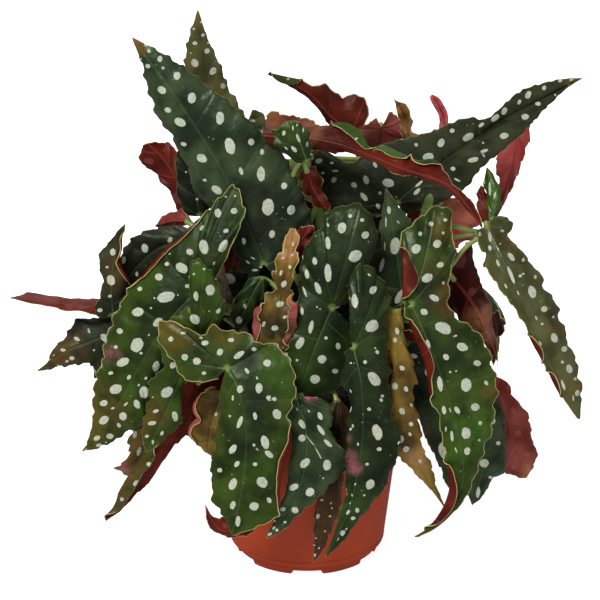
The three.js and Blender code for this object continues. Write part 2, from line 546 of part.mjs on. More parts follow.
function makeSoil() {
  let soil = lathe([
    [0, FLOOR_HIGH + CLEAR],
    [wallInside(FLOOR_HIGH), FLOOR_HIGH + CLEAR],
    [wallInside(SOIL_TOP - 4), SOIL_TOP - 4],
    [wallInside(SOIL_TOP - 4) - 6, SOIL_TOP],
    [26, SOIL_TOP + SOIL_MOUND * 0.7],
    [0, SOIL_TOP + SOIL_MOUND],
  ], 24);
  for (const cane of Object.values(CANES)) {
    const [x, y, z] = cane.path[0];
    soil = soil.subtract(tube(cane.path.map((p) => new THREE.Vector3(...p)), CANE_RADIUS + 2 * CLEAR,
      CANE_SIDES, CANE_STEPS));
    soil = soil.subtract(cylinder(CANE_RADIUS + 2 * CLEAR, z - CLEAR, z + 2, CANE_SIDES, x, y));
  }
  return soil;
}

// A point of the view, set at its distance in front of the pot's axis
function place(u, v, front) {
  const cos = Math.cos(VIEW_TILT);
  const sin = Math.sin(VIEW_TILT);
  const camera = VIEW_AIM.clone().add(new THREE.Vector3(0, -VIEW_DISTANCE * cos, VIEW_DISTANCE * sin));
  const rise = (VIEW_MIDDLE - v) / VIEW_FOCUS;
  const ray = new THREE.Vector3((u - VIEW_MIDDLE) / VIEW_FOCUS, cos + rise * sin, -sin + rise * cos);
  return camera.addScaledVector(ray, (-front - camera.y) / ray.y);
}

// A smooth curve through points, read by its share of the straight lengths between them
function spline(points) {
  const curve = new THREE.CatmullRomCurve3(points, false, 'catmullrom', 0.5);
  const reached = lengthShares(points);
  const spot = (share) => {
    let i = 1;
    while (i < points.length - 1 && reached[i] < share) i++;
    return (i - 1 + (share - reached[i - 1]) / (reached[i] - reached[i - 1])) / (points.length - 1);
  };
  return {
    reached,
    getPoint: (share) => curve.getPoint(spot(share)),
    getTangent: (share) => curve.getTangent(spot(share)),
    getLength: () => curve.getLength(),
  };
}

function lengthShares(points) {
  const reached = [0];
  for (let i = 1; i < points.length; i++) {
    reached.push(reached[i - 1] + points[i].distanceTo(points[i - 1]));
  }
  return reached.map((length) => length / reached[points.length - 1]);
}

// The place on the rib that a margin place belongs to
function ribShare(q, turn) {
  if (q <= turn) return 0;
  return ((q - turn) / (1 - turn)) ** VEIN_SWEEP;
}

function tracedLines(leaf) {
  const seen = leaf.rib.map(([u, v]) => new THREE.Vector3(u, v, 0));
  const shares = lengthShares(seen);
  const flat = (s) => {
    let i = 1;
    while (i < seen.length - 1 && shares[i] < s) i++;
    const part = (s - shares[i - 1]) / (shares[i] - shares[i - 1]);
    return new THREE.Vector3(...leaf.rib[i - 1]).lerp(new THREE.Vector3(...leaf.rib[i]), part);
  };
  const rib = spline(leaf.rib.map(([u, v, d]) => place(u, v, d)));
  const tip = leaf.rib[leaf.rib.length - 1];
  const sides = [leaf.one, leaf.two].map((margin, side) => {
    const drawn = lengthShares([...margin, tip].map(([u, v]) => new THREE.Vector3(u, v, 0)));
    const points = margin.map(([u, v, forward = 0], i) => {
      const s = ribShare(drawn[i], drawn[leaf.turn[side]]);
      const near = flat(s);
      const step = flat(Math.min(s + 0.25, 1)).sub(flat(Math.max(s - 0.05, 0)));
      const run = Math.hypot(step.x, step.y);
      const along = ((u - near.x) * step.x + (v - near.y) * step.y) / run;
      const across = Math.abs((u - near.x) * step.y - (v - near.y) * step.x) / run;
      const slope = THREE.MathUtils.clamp(step.z / run, -LOBE_SLOPE, LOBE_SLOPE);
      const front = near.z + along * slope + across * MM_PER_PIXEL * leaf.fall[side] + forward;
      return place(u, v, front);
    });
    const curve = spline([...points, place(...tip)]);
    return { curve, turn: curve.reached[leaf.turn[side]] };
  });
  return { rib, sides };
}

function grownLines(leaf) {
  const spine = leaf.spine.map((p) => new THREE.Vector3(...p));
  const rib = spline(spine);
  const length = rib.getLength();
  const sides = leaf.sides.map((width, side) => {
    const outline = leaf.sides[side] >= leaf.sides[1 - side] ? WIDE_SIDE : SLIM_SIDE;
    const points = outline.map(([along, across]) => {
      const s = Math.max(along, 0);
      const tangent = rib.getTangent(s);
      const point = rib.getPoint(s).addScaledVector(tangent, Math.min(along, 0) * length);
      const outward = new THREE.Vector3(spine[1].x, spine[1].y, 0).normalize();
      const face = outward.add(new THREE.Vector3(0, 0, 0.55));
      const sideways = face.cross(tangent).normalize().multiplyScalar(side === 0 ? 1 : -1);
      point.addScaledVector(sideways, width * across);
      point.z -= 0.25 * width * across * across;
      return point;
    });
    const curve = spline([...points, spine[2]]);
    return { curve, turn: curve.reached[outline === WIDE_SIDE ? 4 : 2] };
  });
  return { rib, sides };
}

// Where a margin leaves the straight line of its cleft: the blade's first row goes there
function cleftShare(base, curve, turn) {
  const start = curve.getPoint(0).sub(base).normalize();
  for (let k = 1; k <= 8; k++) {
    const share = (turn * k) / 10;
    const way = curve.getPoint(share).sub(base).normalize();
    if (way.angleTo(start) > CLEFT_ANGLE) return k === 1 ? 0 : (turn * (k - 1)) / 10;
  }
  return turn * 0.8;
}

// The mid-surface of a blade: rows from the rib to each margin, a fan of them round the lobe
function bladeSurface(leaf, lines, fans, rows, columns) {
  const ribPoints = [];
  for (let j = 0; j <= rows; j++) ribPoints.push(lines.rib.getPoint(ribShare(j / rows, 0)));
  const points = [...ribPoints];
  const lip = leaf.lip;
  const halves = lines.sides.map(({ curve, turn }, side) => {
    const grid = [];
    const fan = fans[side];
    const first = cleftShare(lines.rib.getPoint(0), curve, turn);
    for (let j = 0; j < fan + rows; j++) {
      const early = first + ((turn - first) * j) / fan;
      const q = j <= fan ? early : turn + ((1 - turn) * (j - fan)) / rows;
      const start = ribPoints[Math.max(0, j - fan)];
      const end = curve.getPoint(q);
      const row = end.clone().sub(start);
      const tangent = curve.getTangent(q);
      const normal = row.clone().cross(tangent).normalize().multiplyScalar(side === 0 ? 1 : -1);
      grid.push({ q, start, end, row, normal });
    }
    for (let pass = 0; pass < 2; pass++) {
      const raw = grid.map((g) => g.normal);
      grid.forEach((g, j) => {
        const before = raw[Math.max(0, j - 1)];
        const after = raw[Math.min(raw.length - 1, j + 1)];
        g.smooth = g.normal.clone().multiplyScalar(2).add(before).add(after).normalize();
      });
      grid.forEach((g) => { g.normal = g.smooth; });
    }
    return grid;
  });
  const facing = new THREE.Vector3(0, -Math.cos(VIEW_TILT), Math.sin(VIEW_TILT));
  let towards = 0;
  for (const grid of halves) {
    for (const g of grid) towards += g.normal.dot(leaf.outward || facing) * g.row.length();
  }
  const front = towards < 0 ? -1 : 1;
  const numbers = halves.map((grid, side) => grid.map((g) => {
    const normal = g.normal.clone().multiplyScalar(front);
    const size = g.row.length();
    const bulge = (leaf.bulge || BULGE) * size;
    const fade = Math.sin(Math.PI * Math.min(1, g.q * 1.02)) ** 0.5;
    const phase = side * 2.1 + (leaf.phase || 0);
    const wave = (leaf.wave ?? WAVE) * fade * Math.sin(2 * Math.PI * WAVES * g.q + phase);
    const line = [];
    for (let c = 1; c <= columns; c++) {
      const t = c / columns;
      const p = g.start.clone().addScaledVector(g.row, t);
      p.addScaledVector(normal, bulge * 4 * t * (1 - t) + wave * t * t);
      line.push(points.push(p) - 1);
    }
    if (lip && lip.side === side) {
      const share = THREE.MathUtils.clamp((g.q - lip.from) / (lip.to - lip.from), 0, 1);
      const swell = Math.sin(Math.PI * share) ** 0.7;
      const width = 1 + (lip.width - 1) * swell;
      const out = g.row.clone().normalize();
      const last = points[line[line.length - 1]].clone();
      for (let c = 0; c < LIP_COLUMNS; c++) {
        const angle = (LIP_ROLL * swell * (c + 0.5)) / LIP_COLUMNS;
        last.addScaledVector(out, (width / LIP_COLUMNS) * Math.cos(angle));
        last.addScaledVector(normal, (width / LIP_COLUMNS) * Math.sin(angle));
        line.push(points.push(last.clone()) - 1);
      }
    }
    return line;
  }));
  const triangles = [];
  const rim = [0];
  numbers.forEach((grid, side) => {
    const add = (a, b, c) => triangles.push(side === 0 ? [a, b, c] : [a, c, b]);
    const fan = fans[side];
    for (let j = 0; j < grid.length; j++) {
      const ribHere = Math.max(0, j - fan);
      const here = [ribHere, ...grid[j]];
      if (j === grid.length - 1) {
        for (let c = 0; c < here.length - 1; c++) add(here[c], here[c + 1], rows);
        break;
      }
      const next = [Math.max(0, j + 1 - fan), ...grid[j + 1]];
      for (let c = 0; c < here.length - 1; c++) {
        if (here[c] === next[c]) {
          add(here[c], here[c + 1], next[c + 1]);
        } else if ((c + j) % 2 === 0) {
          add(here[c], here[c + 1], next[c + 1]);
          add(here[c], next[c + 1], next[c]);
        } else {
          add(here[c], here[c + 1], next[c]);
          add(here[c + 1], next[c + 1], next[c]);
        }
      }
    }
  });
  const outer = (grid) => grid.map((line) => line[line.length - 1]);
  rim.push(...numbers[0][0].slice(0, -1), ...outer(numbers[0]), rows);
  rim.push(...outer(numbers[1]).reverse(), ...numbers[1][0].slice(0, -1).reverse());
  return { points, triangles, rim, front };
}

// Gives a mid-surface its thickness, with the two faces split into triangles alike
function thicken({ points, triangles, rim }, thickness) {
  const normals = points.map(() => new THREE.Vector3());
  for (const [a, b, c] of triangles) {
    const u = points[b].clone().sub(points[a]);
    const cross = u.cross(points[c].clone().sub(points[a]));
    for (const i of [a, b, c]) normals[i].add(cross);
  }
  normals.forEach((normal) => normal.normalize());
  const count = points.length;
  const position = [];
  for (const way of [1, -1]) {
    points.forEach((p, i) => {
      const q = p.clone().addScaledVector(normals[i], (way * thickness) / 2);
      position.push(q.x, q.y, q.z);
    });
  }
  const index = [];
  for (const [a, b, c] of triangles) index.push(a, b, c, count + a, count + c, count + b);
  rim.forEach((a, i) => {
    const b = rim[(i + 1) % rim.length];
    index.push(a, count + a, b, b, count + a, count + b);
  });
  const geometry = new THREE.BufferGeometry();
  geometry.setAttribute('position', new THREE.Float32BufferAttribute(position, 3));
  geometry.setIndex(index);
  return { geometry, normals };
}

function makeLeaf(leaf, lines) {
  const span = lines.rib.getLength();
  const rows = span > LONG_LEAF ? 8 : span > SHORT_LEAF ? 6 : 5;
  const spread = span / rows;
  const fans = lines.sides.map(({ curve, turn }) => {
    return THREE.MathUtils.clamp(Math.round((curve.getLength() * turn) / spread / 0.8), 1, 8);
  });
  const surface = bladeSurface(leaf, lines, fans, rows, 2);
  const { geometry, normals } = thicken(surface, BLADE);
  const room = toSolid(thicken(surface, BLADE + 2 * CLEAR).geometry);
  const solid = toSolid(geometry);
  const seat = surface.points[1].clone().lerp(surface.points[0], 0.5);
  const normal = normals[1].clone().add(normals[0]).normalize();
  const facing = leaf.outward || new THREE.Vector3(0, -Math.cos(VIEW_TILT), Math.sin(VIEW_TILT));
  if (normal.dot(facing) < 0) normal.negate();
  if (leaf.shows === 'under' && leaf.held !== 'behind') normal.negate();
  const along = surface.points[1].clone().sub(surface.points[0]).normalize();
  return { solid, room, seat, normal, along, slant: leaf.slant || 0.5, via: leaf.stalk || [] };
}

// A stalk from its cane to the underside of its leaf
function stalkTube(cane, leaf, gap) {
  const start = cane.getPoint(leaf.share);
  const way = leaf.normal.clone().addScaledVector(leaf.along, leaf.slant).normalize();
  const lift = STALK_RADIUS * Math.sqrt(1 - way.dot(leaf.normal) ** 2);
  const end = leaf.seat.clone().addScaledVector(leaf.normal, -(gap + lift));
  let points;
  if (leaf.via.length) {
    points = [start, ...leaf.via.map((p) => place(...p)), end.clone().addScaledVector(way, -STALK_END), end];
  } else {
    const reach = start.distanceTo(end);
    const rise = end.clone().sub(start).normalize().add(new THREE.Vector3(0, 0, 0.5)).normalize();
    points = new THREE.CubicBezierCurve3(start, start.clone().addScaledVector(rise, reach * STALK_BEND),
      end.clone().addScaledVector(way, -reach * STALK_BEND), end).getPoints(4);
  }
  return tube(points, STALK_RADIUS, STALK_SIDES, leaf.via.length ? 6 : 4);
}

// Moves a stalk down until it is clear of its own blade, then cuts it clear of the others
function makeStalk(cane, leaf, blades) {
  let gap = BLADE / 2 + CLEAR;
  let stalk = stalkTube(cane, leaf, gap);
  while (gap < STALK_DROP_MOST && stalk.intersect(leaf.solid).volume() > 0) {
    gap += STALK_DROP;
    stalk = stalkTube(cane, leaf, gap);
  }
  const start = cane.getPoint(leaf.share);
  const pieces = clearOf(stalk, blades).decompose();
  return pieces.sort((a, b) => nearest(a, start) - nearest(b, start))[0];
}

function clearOf(solid, blades) {
  let left = solid;
  for (const blade of blades) {
    if (left.intersect(blade.solid).volume() > 0) left = left.subtract(blade.room);
  }
  return left;
}

function nearest(solid, point) {
  const { vertProperties } = solid.getMesh();
  let best = Infinity;
  for (let i = 0; i < vertProperties.length; i += 3) {
    best = Math.min(best, point.distanceTo(new THREE.Vector3().fromArray(vertProperties, i)));
  }
  return best;
}

const group = new THREE.Group();

function addNode(name, solid, color, roughness) {
  const material = new THREE.MeshStandardMaterial({ color, roughness, metalness: 0 });
  const mesh = new THREE.Mesh(toGeometry(solid), material);
  mesh.name = name;
  group.add(mesh);
}

addNode('pot', makePot(), POT_COLOR, 0.5);
addNode('soil', makeSoil(), SOIL_COLOR, 0.95);

const stalks = {};
const blades = [];
for (const [name, leaf] of Object.entries(LEAVES)) {
  const made = makeLeaf(leaf, tracedLines(leaf));
  addNode(name, made.solid, LEAF_COLORS[leaf.tone], 0.45);
  const [cane, share] = leaf.cane;
  blades.push(made);
  (stalks[cane] ||= []).push({ ...made, share });
}
for (const [name, leaf] of Object.entries(BACK_LEAVES)) {
  const middle = leaf.spine[1];
  leaf.outward = new THREE.Vector3(middle[0], middle[1], 60).normalize();
  leaf.shows = 'upper';
  const made = makeLeaf(leaf, grownLines(leaf));
  addNode(name, made.solid, LEAF_COLORS.green, 0.45);
  const near = Object.entries(CANES).map(([cane, { path }]) => {
    const curve = new THREE.CatmullRomCurve3(path.map((p) => new THREE.Vector3(...p)));
    const point = curve.getPoint(0.8);
    return [point.distanceTo(made.seat), cane];
  }).sort((a, b) => a[0] - b[0])[0][1];
  const share = THREE.MathUtils.clamp((made.seat.z - 110) / 120, 0.35, 0.95);
  blades.push(made);
  (stalks[near] ||= []).push({ ...made, share });
}
for (const [name, cane] of Object.entries(CANES)) {
  const points = cane.path.map((p) => new THREE.Vector3(...p));
  const curve = new THREE.CatmullRomCurve3(points);
  let solid = tube(points, CANE_RADIUS, CANE_SIDES, CANE_STEPS);
  for (const stalk of stalks[name] || []) solid = solid.add(makeStalk(curve, stalk, blades));
  addNode(name, clearOf(solid, blades), CANE_COLOR, 0.8);
}

export default group;
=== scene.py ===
"""A polka dot begonia in its terracotta-coloured nursery pot."""
import math
import random

import bpy
import numpy as np
from bpy.props import FloatProperty, FloatVectorProperty, IntProperty, PointerProperty
from bpy.types import Operator, Panel, PropertyGroup
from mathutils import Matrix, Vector


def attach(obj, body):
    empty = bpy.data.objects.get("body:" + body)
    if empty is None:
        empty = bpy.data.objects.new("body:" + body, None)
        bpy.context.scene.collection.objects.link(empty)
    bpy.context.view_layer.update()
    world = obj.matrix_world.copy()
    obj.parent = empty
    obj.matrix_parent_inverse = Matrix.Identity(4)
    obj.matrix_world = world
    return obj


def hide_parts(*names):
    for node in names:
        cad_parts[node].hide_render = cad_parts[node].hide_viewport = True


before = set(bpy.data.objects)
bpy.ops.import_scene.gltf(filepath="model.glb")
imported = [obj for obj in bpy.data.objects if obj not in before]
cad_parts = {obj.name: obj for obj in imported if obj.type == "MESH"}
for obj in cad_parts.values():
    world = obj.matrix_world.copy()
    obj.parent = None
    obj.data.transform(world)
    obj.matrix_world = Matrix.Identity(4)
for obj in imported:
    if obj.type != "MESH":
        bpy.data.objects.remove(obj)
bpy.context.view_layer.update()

bl_info = {
    "name": "Potted polka dot begonia",
    "version": (1, 0, 0),
    "blender": (4, 5, 0),
    "location": "View3D > Sidebar > Begonia",
    "description": "Models a spotted begonia with crimson undersides in a nursery pot",
    "category": "Object",
}

MM = 0.001
TINY = 1e-9
LENGTH_STEPS = 200

# The view that leaf outlines are read in: a camera above the front, looking down.
# A leaf point is [pixels across, pixels down, millimetres in front of the pot's axis].
VIEW_TILT = math.radians(21)
VIEW_DISTANCE = 1460
VIEW_FOCUS = 2500
VIEW_SIZE = 600
VIEW_AIM = np.array([-4.2, 0, 157.5])
VIEW_BACK = np.array([0, -math.cos(VIEW_TILT), math.sin(VIEW_TILT)])
VIEW_EYE = VIEW_AIM + VIEW_DISTANCE * VIEW_BACK
MM_PER_PIXEL = 0.59
SENSOR_WIDTH = 36

# Blades, in millimetres: how many rows of veins a half has, and how its rows are laid
LONG_LEAF, SHORT_LEAF = 75, 40
LONG_ROWS, MIDDLE_ROWS, SHORT_ROWS = 8, 6, 5
FAN_STEP, FAN_MOST = 0.8, 8
LEAST_FINE = 3
VEIN_SWEEP = 1.15
LOBE_SLOPE = 0.15
STEP_AHEAD, STEP_BEHIND = 0.25, 0.05
CLEFT_ANGLE = math.radians(12)
CLEFT_STEPS, CLEFT_MOST = 10, 0.8
EASE_REACH, EASE_LEAST = 2.5, 0.3

# How a blade bulges, waves and is raised between its veins. Rows that are shorter than a ROOM
# get less of it. Ruffles and teeth are given by length and height.
BULGE = 0.1
WAVE, WAVES, SIDE_PHASE = 2, 3, 2.1
FADE_STRETCH = 1.02
RUFFLES, RUFFLE_ROOM = ((20, 1.2), (11, 0.8)), 20
TEETH, TOOTH_ROOM, TIP_EASE = ((10, 0.75), (4.6, 0.4)), 12, 12
LENGTH_SPREAD, START_SPREAD = (0.85, 1.15), (0, 9)
QUILT, QUILT_ROOM, QUILT_FLATNESS = 0.75, 25, 0.7

# Lips: margins that are rolled over
LIP_ROLL = math.radians(174)
LIP_GAP = 1.0
LIP_RISE, LIP_FULLNESS = 2.5, 0.7
LIP_SMOOTH, LIP_CALM = 0.85, 0.8
LIP_SQUARE, MARGIN_EASE, PUSH_EASE = 0.9, 2, 1.5
FOLD_LENGTH, FOLD_STEPS = 2.6, 4
FLAT_LEAST, FLAT_STEPS = 0.3, 5

# Leaves on the side turned away
BACK_LEAN, BACK_DROOP, BACK_TILT = 0.55, 0.25, 60.0
BACK_SEED = 100
# Their stalks grow from the nearest cane, at a share that goes with the leaf's height
CANE_REACH, LOW_LEAF, LEAF_RANGE, LEAST_SHARE, MOST_SHARE = 0.8, 110, 120, 0.35, 0.95

# Spots that a leaf gets of its own: least and most size, the room round them, and tries.
# Towards the tip they are smaller and closer.
SPOT_SORTS = ((1.9, 3.3, 11.5, 500), (0.9, 1.6, 8, 260), (0.35, 0.7, 4.5, 120))
SPOT_LENGTHS = (1.15, 1.7)
SPOT_FROM_MARGIN, SPOT_FROM_RIB, SPOT_TO_MARGIN = 3, 2.5, 0.8
TIP_START, TIP_LENGTH, TIP_SIZE, TIP_GAP = 0.6, 0.4, 0.55, 0.4
FAR = 9.0

# Canes and stalks, in millimetres
CANE_FOOT = 66
CANE_RADIUS, CANE_TAPER, CANE_TOP = 3.1, 0.5, [0.95, 0.85, 0.65, 0.3]
CANE_PARTS, CANE_SIDES = 150, 8
RING_STEP, RING_START, RING_HEIGHT, RING_SHARPNESS = 15, 0.3, 0.75, 6
STALK_RADIUS, STALK_FLARE, STALK_CUP = 1.35, 0.9, 0.25
FLARE_POWER, CUP_POWER = 8, 10
STALK_PARTS, STALK_SIDES, BEND_POINTS = 26, 4, 5
STALK_END = 6
STALK_BEND = 0.35
STALK_RISE = 0.5
STALK_SLANT = 0.5
STALK_GAP = 1.2

# The pot's section: points of radius and height. The collar's heights, and both numbers of the
# rim, are counted from the rim's top outer corner.
FOOT_SECTION = [(0, 5.6), (39.9, 5.6), (39.9, 0.3), (40.2, 0), (42.2, 0), (42.5, 0.3), (42.5, 4.7),
                (42.9, 5.2), (45.2, 6.1), (46.2, 6.9), (46.6, 8.2), (46.75, 9.6), (46.55, 9.9),
                (46.7, 10.3)]
COLLAR_SECTION = [(56.3, -15), (56.6, -12.6), (57, -12), (59.3, -12), (59.8, -11.8), (60, -11.3)]
RIM_SECTION = [(0, -1.2), (-0.3, -0.4), (-0.9, 0), (-2, 0), (-2.3, -0.5)]
INNER_SECTION = [(57.5, 95), (54.9, 93), (44.9, 7.8), (0, 7.8)]
POT_STEPS, WELD = 144, 0.02
NOTCHES, NOTCH_SIZE, NOTCH_PLACE, NOTCH_FLARE = 6, (16.2, 8, 4.4), (0, -41.2, 0.3), 1.3
HOLES, HOLE_SIDES, HOLE_RADIUS, HOLE_DEPTH, HOLE_HEIGHT, HOLE_REACH = 6, 32, 4, 6, 6.7, 27
EDGE_ROUNDING, EDGE_STEPS, EDGE_ANGLE = 0.25, 2, math.radians(50)
SMOOTH_ANGLE = math.radians(40)

# The soil: a mound, its rough surface as waves (across, deep, start), and its crumbs
SOIL_RADIUS, SOIL_LEVEL, SOIL_SWELL = 50, 94, 3.6
SOIL_SIDE = [(0, 8.2), (44, 8.2), (53.2, 88), (52.4, 92)]
SOIL_RINGS, SOIL_STEPS, SOIL_ROUGH_FROM = 34, 110, 91
SOIL_WAVES = ((0.9, 0.4, 1), (-0.5, 1.1, 2), (1.7, -1.3, 0.5), (2.3, 1.9, 4))
SOIL_WAVE, SOIL_GRAIN = 0.28, 0.35
CRUMB_SIZES, CRUMB_DENTS, CRUMB_SHAPES, CRUMB_RISE = (0.7, 2.2), (0.75, 1.2), (0.6, 1.5), 0.15
SOIL_SEED = 5

# Where colours and relief begin and are full, in millimetres from the stalk, the margin, a
# vein or the rib. A spot's edge is at 1. Bark is young from a height in metres.
BRIGHT_BASE, STAR_EDGE = (34, 0), (3.2, 0.6)
LIGHT_MARGIN, RIM_EDGE, UNDER_RIM_EDGE = (9, 0), (0.25, 0.05), (0.5, 0.15)
VEIN_EDGE, RIB_EDGE = (0.5, 0.1), (0.65, 0.15)
UNDER_VEIN_EDGE, UNDER_RIB_EDGE = (0.8, 0.2), (1.2, 0.4)
SPOT_EDGE, UNDER_SPOT_EDGE = (1.03, 0.93), (1.1, 0.8)
GROOVE, GROOVE_DEPTH = (1.6, 0), 0.25
VEIN_RIDGE, RIB_RIDGE, RIDGE_HEIGHT = (1.2, 0), (1.8, 0), 0.45
YOUNG_BARK = (0.18, 0.2)

# The stage: each light's softness as the angle that it fills, and the way that it shines
FLOOR_SIZE, FLOOR_ROUGHNESS = 30, 0.9
KEY_LIGHT = 24, (0.5, 0.8, -1.1)
FILL_LIGHT = 60, (-0.9, 0.7, -0.5)
BACK_LIGHT = 60, (-0.2, -1.0, -0.8)
CAMERA_REACH = 100

# Each cane: the points that it passes, from the soil up
CANES = {
    "cane_left": [[-20, -4, CANE_FOOT], [-32, -16, 130], [-46, -24, 170], [-52, -20, 194]],
    "cane_front": [[-3, -20, CANE_FOOT], [-8, -36, 115], [-7, -40, 148], [4, -38, 170]],
    "cane_back": [[3, 14, CANE_FOOT], [8, 6, 150], [8, -2, 205], [-4, 2, 244]],
    "cane_right": [[20, -2, CANE_FOOT], [40, -14, 125], [58, -16, 180], [70, -16, 228]],
}


def traced(tone, cane, share, turn=(1, 1), fall=(-0.3, -0.3), shows="upper", **more):
    """A leaf whose outline is seen. Its stalk leaves a cane at a share of the cane's points."""
    return {"tone": tone, "cane": (cane, share), "turn": turn, "fall": fall, "shows": shows, **more}


